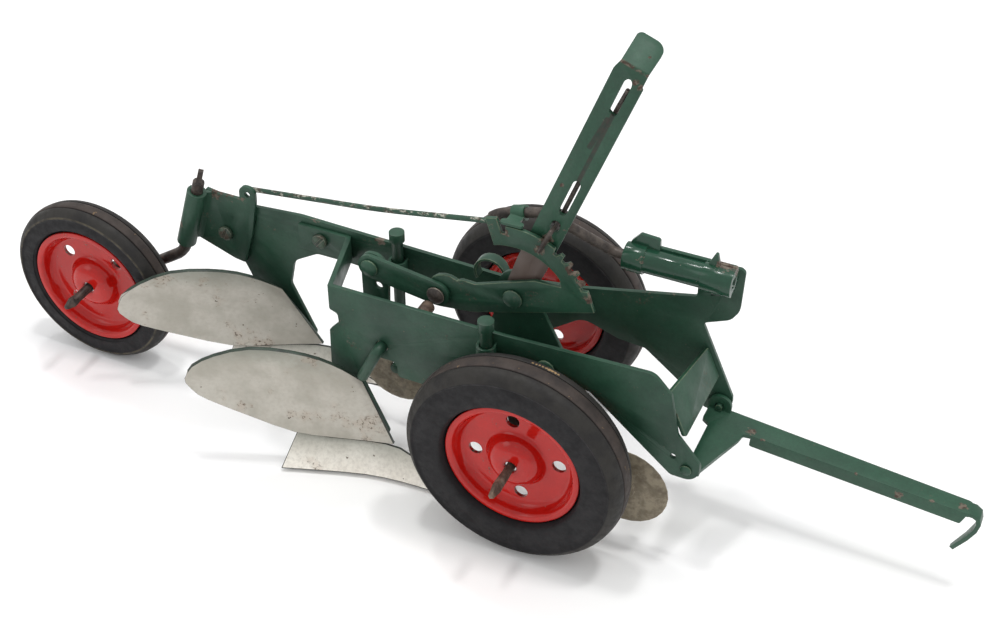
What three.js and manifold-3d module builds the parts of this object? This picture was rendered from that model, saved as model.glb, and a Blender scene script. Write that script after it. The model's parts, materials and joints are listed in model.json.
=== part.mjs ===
// Pressed-steel toy plough: a trailed two-furrow mouldboard plough on three rubber-tyred wheels.
// Millimetres. X runs forwards to the drawbar, Y to the left side, Z up from the floor.
// The pieces are laid out from the right front wheel: X and Z are zero under its axle and Y is zero
// at the rim of its hub. The last step moves the whole plough so that its origin is on the floor
// under the middle of its overall box.
import * as THREE from 'three';
import Module from 'manifold-3d';

// ---------------------------------------------------------------- driving dimensions
const SHEET = 1.2;             // thickness of every pressed plate
const GAP = 0.3;               // space left where two pieces touch
const WELD = 1e-4;             // corners closer than this are one corner
const WIRE = 3.6;              // axles, rear crank
const STEM = 3.4;              // coulter stems
const ROD = 1.6;               // long stay rod
const SCREW_HEAD = 4.6;
const RIVET_HEAD = 5.4;

const FRONT_TYRE_RADIUS = 32.7;
const FRONT_TYRE_WIDTH = 13.1;
const REAR_TYRE_RADIUS = 28.1;
const REAR_TYRE_WIDTH = 10.2;
const HUB_RADIUS = 20;
const FRONT_BULGE = 2.3;       // how far a front tyre stands out past its hub rim
const REAR_BULGE = 0.6;
const HUB_HOLES = 4;
const HUB_HOLE_RADIUS = 2;
const HUB_HOLE_CIRCLE = 12.6;

const RIGHT_PLATE_Y = 17;      // middle of the right side plate
const PLATE_SPACING = 24;      // right side plate to left beam
const PLATE_TOP = 63;          // top edge of the right side plate
const BEAM_TOP = 64;           // top edge of the left beam
const BEAM_BEND_X = -20;       // ahead of this the left beam turns outwards
const BEAM_BEND = THREE.MathUtils.degToRad(5.5);

const LEFT_HUB_Y = 68.1;       // right-hand rim of the left wheel's hub
const LEFT_AXLE_X = -20.2;     // the left wheel runs a little behind the right one
const STUB = 11;               // axle end past the hub
const REAR_AXLE = { x: -157.3, hubY: 23.2 };

const HITCH = { x: 44.4, z: 35 };
const HITCH_EAR_RADIUS = 3.6;
const HITCH_PIN = 1;           // radius of the rivets that carry the drawbar
const DRAWBAR_LENGTH = 74.2;   // pivot to the end of its deck
const DRAWBAR_DROOP = THREE.MathUtils.degToRad(3.5);
const DRAWBAR_DROP = 1.3;      // the yoke plate lies this far below its pivots
const BAR_WIDTH = 6.6;
const BAR_TAPER = 1.4;         // the bar is this much narrower at its hook
const BAR_FLANGE = 3.9;

const LEVER_PIVOT = { x: -11.4, z: 68.4 };
const LEVER_LENGTH = 82.8;     // pivot to the fold of its thumb pad
const LEVER_WIDTH = 8.6;
const LEVER_LEAN = THREE.MathUtils.degToRad(21.2);
const PAD_LENGTH = 9.4;
const PAD_FOLD = THREE.MathUtils.degToRad(68);
const QUADRANT_Y = RIGHT_PLATE_Y + 10;
const QUADRANT_RADIUS = 23.2;
const QUADRANT_BAND = 6.2;
const QUADRANT_TEETH = 5;

const BRACKET_SCREW = { x: -112.9, z: 52.5 };
const STRIP_SCREW = { x: -79.4, z: 59.4 };
const SLEEVE_LENGTH = 21;      // rear sleeve, carries the rear crank
const SLEEVE_WALL = 1.1;
const SLEEVE_LEAN = THREE.MathUtils.degToRad(17.8);
const SLEEVE_FOOT = { x: -126.3, z: 47.2 };
const CRANK_Y = RIGHT_PLATE_Y + PLATE_SPACING - 5;

const DISC_RADIUS = 13;
const DISC_THICKNESS = 1;
const RIGHT_POST_X = -14;
const LEFT_POST_X = -53.4;
const RIGHT_POST_TOP = 5.1;    // a coulter post's head stands this far above its plate
const LEFT_POST_TOP = 6.1;
const RIGHT_DISC = { x: 26.8, z: 20.6 };
const LEFT_DISC_Z = 22.8;

// ---------------------------------------------------------------- derived places
const LEFT_BEAM_Y = RIGHT_PLATE_Y + PLATE_SPACING;
const FRONT_AXLE_Z = FRONT_TYRE_RADIUS;
const REAR_AXLE_Z = REAR_TYRE_RADIUS;
const FRONT_HUB_WIDTH = FRONT_TYRE_WIDTH - 2 * FRONT_BULGE;
const REAR_HUB_WIDTH = REAR_TYRE_WIDTH - 2 * REAR_BULGE;
const PLATE_REAR_X = -64.2;
const LEVER_Y = QUADRANT_Y + SHEET + 2 * GAP + 0.2;
const STAND_Y = LEVER_Y + SHEET + 2 * GAP + 0.2;
const RIGHT_POST_Y = RIGHT_PLATE_Y - SHEET / 2 - GAP - STEM / 2;
const LEFT_POST_Y = LEFT_BEAM_Y - SHEET / 2 - GAP - STEM / 2;

const GREEN = 0x2d5940;
const RED = 0xc8322a;
const RUBBER = 0x2c2a2b;
const SILVER = 0xb9b4aa;
const STEEL = 0x73685c;

const wasm = await Module();
wasm.setup();

// ---------------------------------------------------------------- geometry helpers
// A geometry whose corners closer than WELD are one, with its faces pointing out.
function welded(geometry) {
  const source = geometry.getAttribute('position');
  const order = geometry.index ? Array.from(geometry.index.array) : Array.from({ length: source.count }, (_, i) => i);
  const cells = new Map();
  const points = [];
  const sides = [-1, 0, 1];
  const find = (i) => {
    const p = new THREE.Vector3().fromBufferAttribute(source, i);
    const cell = p.toArray().map((value) => Math.floor(value / WELD));
    for (const dx of sides) {
      for (const dy of sides) {
        for (const dz of sides) {
          const near = cells.get(`${cell[0] + dx},${cell[1] + dy},${cell[2] + dz}`) ?? [];
          const match = near.find((k) => points[k].distanceTo(p) < WELD);
          if (match !== undefined) return match;
        }
      }
    }
    const key = cell.join();
    cells.set(key, [...(cells.get(key) ?? []), points.length]);
    return points.push(p) - 1;
  };
  const corners = Array.from({ length: source.count }, (_, i) => find(i));
  const kept = [];
  for (let i = 0; i < order.length; i += 3) {
    const [a, b, c] = [corners[order[i]], corners[order[i + 1]], corners[order[i + 2]]];
    if (a !== b && b !== c && c !== a) kept.push(a, b, c);
  }
  const merged = new THREE.BufferGeometry();
  merged.setAttribute('position', new THREE.Float32BufferAttribute(points.flatMap((p) => p.toArray()), 3));
  merged.setIndex(signedVolume(merged, kept) < 0 ? kept.reverse() : kept);
  return merged;
}

function signedVolume(geometry, index) {
  const p = geometry.getAttribute('position');
  const [a, b, c] = [new THREE.Vector3(), new THREE.Vector3(), new THREE.Vector3()];
  let sum = 0;
  for (let i = 0; i < index.length; i += 3) {
    a.fromBufferAttribute(p, index[i]);
    b.fromBufferAttribute(p, index[i + 1]);
    c.fromBufferAttribute(p, index[i + 2]);
    sum += a.dot(b.cross(c));
  }
  return sum;
}

function toSolid(geometry) {
  const g = welded(geometry);
  const vertProperties = new Float32Array(g.getAttribute('position').array);
  const triVerts = new Uint32Array(g.index.array);
  return new wasm.Manifold(new wasm.Mesh({ numProp: 3, vertProperties, triVerts }));
}

function toGeometry(solid) {
  const mesh = solid.getMesh();
  const geometry = new THREE.BufferGeometry();
  geometry.setAttribute('position', new THREE.BufferAttribute(new Float32Array(mesh.vertProperties), 3));
  geometry.setIndex(Array.from(mesh.triVerts));
  return geometry;
}

function joined(first, ...others) {
  return toGeometry(others.reduce((solid, other) => solid.add(toSolid(other)), toSolid(first)));
}

function cut(first, ...tools) {
  return toGeometry(tools.reduce((solid, tool) => solid.subtract(toSolid(tool)), toSolid(first)));
}

// A closed outline, drawn anticlockwise, whose corners [x, y, radius] are rounded with arcs.
function outline(given) {
  const turning = THREE.ShapeUtils.area(given.map(([x, y]) => ({ x, y })));
  const corners = turning < 0 ? [...given].reverse() : given;
  const shape = new THREE.Shape();
  const count = corners.length;
  corners.forEach(([x, y, radius = 0], i) => {
    const corner = new THREE.Vector2(x, y);
    const before = new THREE.Vector2(...corners[(i + count - 1) % count]).sub(corner);
    const after = new THREE.Vector2(...corners[(i + 1) % count]).sub(corner);
    if (radius === 0) {
      if (i === 0) shape.moveTo(x, y);
      else shape.lineTo(x, y);
      return;
    }
    before.normalize();
    after.normalize();
    const half = Math.acos(THREE.MathUtils.clamp(before.dot(after), -1, 1)) / 2;
    const start = corner.clone().addScaledVector(before, radius / Math.tan(half));
    const middle = before.clone().add(after).normalize().multiplyScalar(radius / Math.sin(half)).add(corner);
    const end = corner.clone().addScaledVector(after, radius / Math.tan(half));
    if (i === 0) shape.moveTo(start.x, start.y);
    else shape.lineTo(start.x, start.y);
    const from = Math.atan2(start.y - middle.y, start.x - middle.x);
    const to = Math.atan2(end.y - middle.y, end.x - middle.x);
    shape.absarc(middle.x, middle.y, radius, from, to, before.cross(after) > 0);
  });
  return shape;
}

function circle(x, y, radius) {
  const points = [];
  for (let i = 0; i < 12; i += 1) {
    const angle = -i * Math.PI / 6;
    points.push(new THREE.Vector2(x + radius * Math.cos(angle), y + radius * Math.sin(angle)));
  }
  return new THREE.Path(points);
}

function slot(x, y, width, length) {
  const [w, l] = [width / 2, length / 2];
  return outline([[x - w, y - l, w * 0.9], [x + w, y - l, w * 0.9], [x + w, y + l, w * 0.9], [x - w, y + l, w * 0.9]]);
}

// A flat plate drawn in X and Z, its thickness centred on Y.
function plate(corners, { holes = [], thickness = SHEET, y = 0 } = {}) {
  const shape = corners instanceof THREE.Shape ? corners : outline(corners);
  shape.holes.push(...holes);
  const options = { depth: thickness, bevelEnabled: false, curveSegments: 3 };
  return new THREE.ExtrudeGeometry(shape, options)
    .translate(0, 0, -thickness / 2)
    .rotateX(Math.PI / 2)
    .translate(0, y, 0);
}

// A flat plate drawn in X and Y, standing from z up to z + thickness.
function level(corners, z, thickness = SHEET, holes = []) {
  const shape = outline(corners);
  shape.holes.push(...holes);
  return new THREE.ExtrudeGeometry(shape, { depth: thickness, bevelEnabled: false, curveSegments: 3 })
    .translate(0, 0, z);
}

// A round bar along Y from y0 to y1.
function pin(x, z, y0, y1, radius, sides = 14) {
  return new THREE.CylinderGeometry(radius, radius, y1 - y0, sides).translate(x, (y0 + y1) / 2, z);
}

// A tube along Y, centred on the origin.
function tube(outer, inner, length, sides = 18) {
  const half = length / 2;
  const ring = [[inner, -half], [outer, -half], [outer, half], [inner, half], [inner, -half]];
  return new THREE.LatheGeometry(ring.map(([r, y]) => new THREE.Vector2(r, y)), sides);
}

// A wire through the points, with its corners bent to the given reach.
const BEND_STEPS = 5;
function wire(points, diameter, reach) {
  const corners = points.map((p) => new THREE.Vector3(...p));
  const heading = (a, b) => b.clone().sub(a).normalize();
  const stations = [[corners[0], heading(corners[0], corners[1])]];
  for (let i = 1; i < corners.length - 1; i += 1) {
    const into = heading(corners[i - 1], corners[i]).multiplyScalar(reach);
    const out = heading(corners[i], corners[i + 1]).multiplyScalar(reach);
    const bend = new THREE.QuadraticBezierCurve3(corners[i].clone().sub(into), corners[i], corners[i].clone().add(out));
    for (let k = 0; k <= BEND_STEPS; k += 1) {
      stations.push([bend.getPoint(k / BEND_STEPS), bend.getTangent(k / BEND_STEPS)]);
    }
  }
  stations.push([corners.at(-1), heading(corners.at(-2), corners.at(-1))]);
  const steps = stations.length - 1;
  const path = new THREE.Curve();
  path.getPointAt = (u) => stations[Math.round(u * steps)][0].clone();
  path.getTangentAt = (u) => stations[Math.round(u * steps)][1].clone();
  const section = new THREE.Shape().absarc(0, 0, diameter / 2, 0, 2 * Math.PI);
  return new THREE.ExtrudeGeometry(section, { steps, curveSegments: 5, extrudePath: path, bevelEnabled: false });
}

// A domed rivet head whose flat side is at y = 0 and whose dome points to -Y.
function rivetHead(diameter, height) {
  const r = diameter / 2;
  const profile = [[0, 0], [r, 0], [r, -0.3 * height], [0.72 * r, -0.8 * height], [0, -height]];
  return new THREE.LatheGeometry(profile.map(([x, y]) => new THREE.Vector2(x, y)), 14);
}

// A cheese-headed screw with a slot, its head towards -Y and its shank through two sheets.
const SHANK = 1.3;
const SHANK_HOLE = SHANK + GAP;
function screw() {
  const r = SCREW_HEAD / 2;
  const length = 2 * (SHEET + GAP) + 0.9;
  const profile = [[0, length], [SHANK, length], [SHANK, 0], [r, 0], [r, -1], [0.8 * r, -1.4], [0, -1.5]];
  const body = new THREE.LatheGeometry(profile.map(([x, y]) => new THREE.Vector2(x, y)), 14);
  return cut(body, new THREE.BoxGeometry(0.8, 1.6, SCREW_HEAD + 2).translate(0, -1.7, 0));
}

// A curved sheet between a lower and an upper edge, hollowed by the given depth.
function curvedSheet(lower, upper, { hollow, thickness, columns, rows }) {
  const low = new THREE.CatmullRomCurve3(lower.map((p) => new THREE.Vector3(...p)));
  const high = new THREE.CatmullRomCurve3(upper.map((p) => new THREE.Vector3(...p)));
  const face = [];
  for (let i = 0; i <= columns; i += 1) {
    for (let j = 0; j <= rows; j += 1) {
      const v = j / rows;
      const point = low.getPoint(i / columns).lerp(high.getPoint(i / columns), v);
      point.y += 4 * v * (1 - v) * hollow * Math.sin(Math.PI * i / columns);
      face.push(point);
    }
  }
  const at = (i, j) => face[i * (rows + 1) + j];
  const back = face.map((point, k) => {
    const i = Math.floor(k / (rows + 1));
    const j = k % (rows + 1);
    const along = at(Math.min(i + 1, columns), j).clone().sub(at(Math.max(i - 1, 0), j));
    const up = at(i, Math.min(j + 1, rows)).clone().sub(at(i, Math.max(j - 1, 0)));
    const normal = along.cross(up).normalize();
    return point.clone().addScaledVector(normal, -thickness * Math.sign(-normal.y || 1));
  });
  const positions = [...face, ...back].flatMap((p) => p.toArray());
  const offset = face.length;
  const id = (i, j, side) => side * offset + i * (rows + 1) + j;
  const index = [];
  const quad = (a, b, c, d) => index.push(a, b, c, a, c, d);
  for (let i = 0; i < columns; i += 1) {
    for (let j = 0; j < rows; j += 1) {
      quad(id(i, j, 0), id(i + 1, j, 0), id(i + 1, j + 1, 0), id(i, j + 1, 0));
      quad(id(i, j, 1), id(i, j + 1, 1), id(i + 1, j + 1, 1), id(i + 1, j, 1));
    }
    quad(id(i, 0, 0), id(i, 0, 1), id(i + 1, 0, 1), id(i + 1, 0, 0));
    quad(id(i, rows, 0), id(i + 1, rows, 0), id(i + 1, rows, 1), id(i, rows, 1));
  }
  for (let j = 0; j < rows; j += 1) {
    quad(id(0, j, 0), id(0, j + 1, 0), id(0, j + 1, 1), id(0, j, 1));
    quad(id(columns, j, 0), id(columns, j, 1), id(columns, j + 1, 1), id(columns, j + 1, 0));
  }
  const geometry = new THREE.BufferGeometry();
  geometry.setAttribute('position', new THREE.Float32BufferAttribute(positions, 3));
  geometry.setIndex(index);
  return geometry;
}

// ---------------------------------------------------------------- materials
const finish = (color, roughness, metalness) => new THREE.MeshStandardMaterial({ color, roughness, metalness });
const materials = {
  green: () => finish(GREEN, 0.45, 0.1),
  red: () => finish(RED, 0.35, 0.1),
  rubber: () => finish(RUBBER, 0.8, 0),
  silver: () => finish(SILVER, 0.45, 0.6),
  steel: () => finish(STEEL, 0.5, 0.8),
};

const plough = new THREE.Group();

function add(name, geometry, material, { at = [0, 0, 0], turn = [0, 0, 0], into = plough } = {}) {
  const mesh = new THREE.Mesh(welded(geometry), materials[material]());
  mesh.name = name;
  mesh.position.set(...at);
  mesh.rotation.set(...turn);
  into.add(mesh);
  return mesh;
}

// ---------------------------------------------------------------- wheels
// The profile runs from the rim plane (y = 0) inwards to y = width.
function hub(width, firstHole) {
  const bore = WIRE / 2 + GAP;
  const rim = HUB_RADIUS;
  const profile = [
    [bore, 0.8], [4.4, 0.8], [7, 2], [9.4, 3.6], [15.4, 3.6],
    [rim - 2.3, 0.8], [rim - 1.6, 0], [rim, 0], [rim, 1], [rim - 1.1, 1.2],
    [rim - 1.1, width - 1.2], [rim, width - 1], [rim, width], [rim - 2.1, width], [rim - 2.1, 4],
    [15.4, 4.7], [8.8, 4.7], [6.2, 3.1], [4, 1.9], [bore, 1.9], [bore, 0.8],
  ];
  const dish = new THREE.LatheGeometry(profile.map(([r, y]) => new THREE.Vector2(r, y)), 28);
  const holes = [];
  for (let i = 0; i < HUB_HOLES; i += 1) {
    const angle = firstHole + i * (2 * Math.PI / HUB_HOLES);
    const place = [HUB_HOLE_CIRCLE * Math.cos(angle), HUB_HOLE_CIRCLE * Math.sin(angle)];
    holes.push(pin(place[0], place[1], -2, 8, HUB_HOLE_RADIUS, 12));
  }
  return cut(dish, ...holes);
}

// The profile is symmetrical about the middle of the hub.
function tyre(radius, width, hubWidth) {
  const half = width / 2;
  const seat = hubWidth / 2;
  const side = [
    [radius, 0], [radius - 0.5, 0.45 * half], [radius - 1.8, 0.8 * half], [radius - 5, half],
    [HUB_RADIUS + 2.6, 0.97 * half],
    [HUB_RADIUS + 0.4, Math.min(0.8 * half, seat - 0.1)], [HUB_RADIUS + 0.4, seat - 1.3],
    [HUB_RADIUS - 0.8, seat - 1.6],
  ];
  const other = side.slice(1).reverse().map(([r, y]) => [r, -y]);
  const ring = [...side, ...other, side[0]].map(([r, y]) => new THREE.Vector2(r, y));
  return new THREE.LatheGeometry(ring, 32).translate(0, hubWidth / 2, 0);
}

function wheel(name, { x, y, z, radius, width, bulge, faceLeft, firstHole }) {
  const hubWidth = width - 2 * bulge;
  const group = new THREE.Group();
  group.position.set(x, faceLeft ? y + hubWidth : y, z);
  group.rotation.z = faceLeft ? Math.PI : 0;
  plough.add(group);
  add(`${name}_hub`, hub(hubWidth, THREE.MathUtils.degToRad(firstHole)), 'red', { into: group });
  add(`${name}_tyre`, tyre(radius, width, hubWidth), 'rubber', { into: group });
}

const FRONT_WHEEL = { z: FRONT_AXLE_Z, radius: FRONT_TYRE_RADIUS, width: FRONT_TYRE_WIDTH, bulge: FRONT_BULGE };
wheel('right_wheel', { ...FRONT_WHEEL, x: 0, y: 0, faceLeft: false, firstHole: 6 });
wheel('left_wheel', { ...FRONT_WHEEL, x: LEFT_AXLE_X, y: LEFT_HUB_Y, faceLeft: true, firstHole: 72 });
wheel('rear_wheel', {
  x: REAR_AXLE.x, y: REAR_AXLE.hubY, z: REAR_AXLE_Z, faceLeft: false,
  radius: REAR_TYRE_RADIUS, width: REAR_TYRE_WIDTH, bulge: REAR_BULGE, firstHole: 45,
});

// A wire end hammered flat, so that the wheel stays on; it spans y0 to y1 at x, z.
function spade(x, z, y0, y1) {
  const width = 1.35 * WIRE;
  const blade = level([
    [-0.2 * width, y0, 0.6], [0.2 * width, y0, 0.6], [width / 2, (y0 + y1) / 2, 1.5],
    [0.3 * width, y1], [-0.3 * width, y1], [-width / 2, (y0 + y1) / 2, 1.5],
  ], -0.25 * WIRE, 0.5 * WIRE);
  return blade.translate(x, 0, z);
}

// ---------------------------------------------------------------- front axle
const AXLE_BEND = 4;
const AXLE_TURN_Y = [RIGHT_PLATE_Y + 5, LEFT_BEAM_Y + 4];
const leftStubEnd = LEFT_HUB_Y + FRONT_HUB_WIDTH + STUB;
const frontAxle = wire([
  [0, -STUB + 4, FRONT_AXLE_Z],
  [0, AXLE_TURN_Y[0], FRONT_AXLE_Z],
  [LEFT_AXLE_X, AXLE_TURN_Y[1], FRONT_AXLE_Z],
  [LEFT_AXLE_X, leftStubEnd - 4, FRONT_AXLE_Z],
], WIRE, AXLE_BEND);
add('front_axle', joined(
  frontAxle,
  spade(0, FRONT_AXLE_Z, -STUB - 2, -STUB + 5),
  spade(0, 0, -3.5, 3.5).rotateZ(Math.PI).translate(LEFT_AXLE_X, leftStubEnd - 1.5, FRONT_AXLE_Z),
), 'steel');

// ---------------------------------------------------------------- right side plate
// A strap round a coulter post, open towards the plate that it stands on.
function postStrap(x, postY, z, height) {
  const inner = STEM / 2 + GAP;
  const outer = inner + 0.8;
  const reach = STEM / 2 + GAP + SHEET / 2;
  const shape = new THREE.Shape();
  shape.moveTo(outer, reach);
  shape.absarc(0, 0, outer, 0, Math.PI, true);
  shape.lineTo(-outer, reach);
  shape.lineTo(-inner, reach);
  shape.absarc(0, 0, inner, Math.PI, 2 * Math.PI, false);
  shape.lineTo(inner, reach);
  return new THREE.ExtrudeGeometry(shape, { depth: height, bevelEnabled: false, curveSegments: 5 })
    .translate(x, postY, z);
}

const AXLE_LOBE = 6.5;
const rightPlate = plate([
  [PLATE_REAR_X, PLATE_TOP],
  [PLATE_REAR_X, 54.6, 0.8], [-61.6, 53.6, 1.2], [-61.4, 50.6, 1.2], [-64.6, 47, 1],
  [-64.9, 35], [-61.2, 14, 1.5], [-47.6, 12.2, 0.8], [-47, 14],
  [-55.2, 32, 1.5], [-50.5, 42, 3], [-43, 42, 2], [-43, 36.8, 1.2],
  [-AXLE_LOBE - 2.5, 36.8, 1.5],
  [-AXLE_LOBE, FRONT_AXLE_Z - AXLE_LOBE, 5.5], [AXLE_LOBE, FRONT_AXLE_Z - AXLE_LOBE, 5.5],
  [AXLE_LOBE + 0.5, 52.5, 3], [15.6, 52.5, 2],
  [HITCH.x - 4.4, HITCH.z - HITCH_EAR_RADIUS + 0.2, 2],
  [HITCH.x + HITCH_EAR_RADIUS, HITCH.z - HITCH_EAR_RADIUS, 4],
  [HITCH.x + 3.6, HITCH.z + 3, 2],
  [41.2, 46, 2], [38.6, 59, 1.5],
  [33.4, PLATE_TOP + 1.6, 4], [-10, PLATE_TOP, 6],
], {
  y: RIGHT_PLATE_Y,
  holes: [
    circle(0, FRONT_AXLE_Z, WIRE / 2 + GAP),
    circle(-47.7, 46.5, STEM / 2 + GAP),
    circle(HITCH.x, HITCH.z, HITCH_PIN + GAP),
    circle(HITCH.x - 4, HITCH.z + 3.4, 0.9),
  ],
});
// The plate's rear end is folded across to a tab that is screwed to the left beam.
const STRIP_FOOT = 55.2;
const TAB_FOOT = 54.4;
const stripFarY = LEFT_BEAM_Y - SHEET / 2 - GAP - SHEET;
const [stripNearX, stripFarX] = [PLATE_REAR_X, PLATE_REAR_X - 6];
const strip = level([
  [stripNearX, RIGHT_PLATE_Y - SHEET / 2], [stripNearX + SHEET, RIGHT_PLATE_Y + 0.1],
  [stripFarX + SHEET, stripFarY - 0.5], [stripFarX + 0.4, stripFarY + SHEET], [stripFarX - 0.6, stripFarY + 0.3],
], STRIP_FOOT, PLATE_TOP - STRIP_FOOT);
const stripTab = cut(level([
  [stripFarX + 0.4, stripFarY], [stripFarX + 0.4, stripFarY + SHEET],
  [-87, stripFarY + SHEET], [-87, stripFarY],
], TAB_FOOT, PLATE_TOP - TAB_FOOT), pin(STRIP_SCREW.x, STRIP_SCREW.z, stripFarY - 2, stripFarY + 4, SHANK_HOLE));
add('right_side_plate', joined(
  rightPlate, strip, stripTab,
  postStrap(RIGHT_POST_X, RIGHT_POST_Y, PLATE_TOP - 9.5, 6.5),
), 'green');
add('strip_screw', screw(), 'steel', {
  at: [STRIP_SCREW.x, stripFarY - GAP, STRIP_SCREW.z], turn: [0, 0.7, 0],
});
add('right_plate_rivet', rivetHead(RIVET_HEAD, 1.2), 'green', {
  at: [2.9, RIGHT_PLATE_Y - SHEET / 2 - GAP, 56.4],
});

// ---------------------------------------------------------------- left beam
const beamRear = plate([
  [-119, BEAM_TOP - 1.6, 1.5], [-119, 49.5, 1], [-108.5, 41.5, 3], [-106, 36], [-101, 21, 1.5],
  [-85.6, 19.6, 0.8], [-85, 21.4], [-92.6, 38, 3],
  [-90.5, 47.5, 5], [-82, 52.6, 4], [-70, 52.6], [BEAM_BEND_X, 49],
  [BEAM_BEND_X, BEAM_TOP - 0.8], [-87, BEAM_TOP + 1, 20],
], {
  y: LEFT_BEAM_Y,
  holes: [circle(BRACKET_SCREW.x, BRACKET_SCREW.z, SHANK_HOLE), circle(STRIP_SCREW.x, STRIP_SCREW.z, SHANK_HOLE)],
});
// Drawn from the bend forwards, then turned outwards about the bend.
const beamFront = plate([
  [0, 49], [13.5, 48, 2], [23, 54.5, 5], [33.5, 50, 3], [41.5, 48.6, 2], [52.8, 38.6],
  [HITCH.x - BEAM_BEND_X - 4.4, HITCH.z - HITCH_EAR_RADIUS + 0.4, 2],
  [HITCH.x - BEAM_BEND_X + HITCH_EAR_RADIUS, HITCH.z - HITCH_EAR_RADIUS, 4],
  [67.6, 37.5, 1.5], [64.6, 44.6], [59.6, 56], [57.2, 61.8, 1], [64.6, 64.6, 4],
  [66.8, 68], [67.2, 81, 1.5], [66, 82, 1], [54.8, 82], [54.8, BEAM_TOP + 6.2, 1], [22, BEAM_TOP + 1, 12],
  [0, BEAM_TOP - 0.8],
], {
  holes: [
    circle((HITCH.x - BEAM_BEND_X) / Math.cos(BEAM_BEND), HITCH.z, HITCH_PIN + GAP),
    outline([[58.4, BEAM_TOP + 7.4], [61.6, BEAM_TOP + 8.2], [61.6, BEAM_TOP + 9.8], [58.8, BEAM_TOP + 9.4]]),
  ],
}).rotateZ(BEAM_BEND).translate(BEAM_BEND_X, LEFT_BEAM_Y, 0);
const beamKnuckle = new THREE.CylinderGeometry(SHEET / 2, SHEET / 2, BEAM_TOP - 0.8 - 49, 16)
  .rotateX(Math.PI / 2)
  .translate(BEAM_BEND_X, LEFT_BEAM_Y, (BEAM_TOP - 0.8 + 49) / 2);
add('left_beam', joined(
  beamRear, beamFront, beamKnuckle,
  postStrap(LEFT_POST_X, LEFT_POST_Y, BEAM_TOP - 11, 7.5),
), 'green');

// Where the inner face of the left beam's front part lies at a given x.
function beamInnerY(x) {
  return LEFT_BEAM_Y + (x - BEAM_BEND_X) * Math.tan(BEAM_BEND) - SHEET / 2 / Math.cos(BEAM_BEND);
}

// ---------------------------------------------------------------- front cross plate
// The front cross plate leans back from its lower edge.
const CROSS_FOOT = { x: 43.2, z: 45 };
const CROSS_LEAN = THREE.MathUtils.degToRad(23.5);
const crossNear = RIGHT_PLATE_Y + SHEET / 2 + GAP;
const crossFar = beamInnerY(38) - GAP;
const crossPlate = new THREE.ExtrudeGeometry(outline([
  [crossNear, 0, 1], [crossFar, 0], [crossFar, 10, 1], [crossNear, 14.5, 1],
]), { depth: SHEET, bevelEnabled: false, curveSegments: 5 })
  .rotateX(Math.PI / 2)
  .rotateZ(Math.PI / 2)
  .translate(-SHEET, 0, 0);
add('front_cross_plate', crossPlate, 'green', {
  at: [CROSS_FOOT.x, 0, CROSS_FOOT.z], turn: [0, -CROSS_LEAN, 0],
});

// ---------------------------------------------------------------- plough bodies
// One body, drawn from the lower front corner of its mouldboard.
const BODY_LIFT = 11.1;
const LEFT_BODY_ROLL = THREE.MathUtils.degToRad(6.5);
const LEFT_BODY_REACH = 0.7;   // the rolled body is set this much closer to its beam
function body(name, place, turn) {
  const group = new THREE.Group();
  group.position.set(...place);
  group.rotation.set(...turn);
  plough.add(group);
  const lower = [
    [0, 0, 0], [-8, -1.7, -0.3], [-18, -4.7, -0.2], [-29, -8, 0.5], [-41.5, -12.9, 6.4],
    [-49.5, -16, 10.5], [-55, -18, 13.8], [-57.6, -19.4, 18.4],
  ];
  const upper = [
    [-9.2, 0, 21.2], [-13.7, -2.9, 26.1], [-19.9, -5.5, 29.8], [-27.5, -9, 32.4], [-38.4, -13, 32.9],
    [-48.4, -16.5, 29.5], [-54.8, -19, 25.2], [-57.7, -19.5, 20.2],
  ];
  add(`${name}_mouldboard`, curvedSheet(lower, upper, {
    hollow: 1.4, thickness: SHEET, columns: 14, rows: 4,
  }), 'silver', { into: group });
  const edge = [
    [-31, -14.4, -9.6], [-19.8, -10.5, -9.6], [-6.2, -6.3, -9.6], [4, -4.8, -9.6], [13, -4.4, -9.6],
    [20.4, -4.2, -9.6],
  ];
  const seam = [
    [-29.4, -6.2, -0.7], [-19.4, -4.2, -0.8], [-7.6, -0.9, -0.7], [2, 0.2, -0.9], [10, -0.6, -4.2],
    [18.6, -2.9, -9.4],
  ];
  add(`${name}_share`, curvedSheet(edge, seam, {
    hollow: 0, thickness: SHEET, columns: 10, rows: 2,
  }), 'silver', { into: group });
}
const bodyY = -SHEET / 2 - GAP - SHEET - 0.2;
body('right', [-44.7, RIGHT_PLATE_Y + bodyY, BODY_LIFT], [0, 0, 0]);
body('left', [-82.2, LEFT_BEAM_Y + bodyY + LEFT_BODY_REACH, 18.4], [LEFT_BODY_ROLL, THREE.MathUtils.degToRad(-5.5), THREE.MathUtils.degToRad(3.3)]);

// The right body's brace comes through its plate and turns down to the mouldboard's corner.
add('right_brace', wire([
  [-47.7, RIGHT_PLATE_Y + 3, 46.5],
  [-47.7, RIGHT_PLATE_Y - 3.4, 46.5],
  [-53.2, RIGHT_PLATE_Y - 3.2, 35.2],
], STEM, 2), 'green');

// ---------------------------------------------------------------- disc coulters
function disc(name, x, y, z) {
  const bore = STEM / 2 + GAP;
  const half = DISC_THICKNESS / 2;
  const profile = [
    [bore, -1.1], [bore + 1.4, -1.1], [bore + 1.4, -half], [DISC_RADIUS - 1.6, -half], [DISC_RADIUS, -0.1],
    [DISC_RADIUS, 0.1], [DISC_RADIUS - 1.6, half], [bore, half], [bore, -1.1],
  ];
  const geometry = new THREE.LatheGeometry(profile.map(([r, h]) => new THREE.Vector2(r, h)), 28);
  add(name, geometry, 'steel', { at: [x, y, z] });
}

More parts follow.
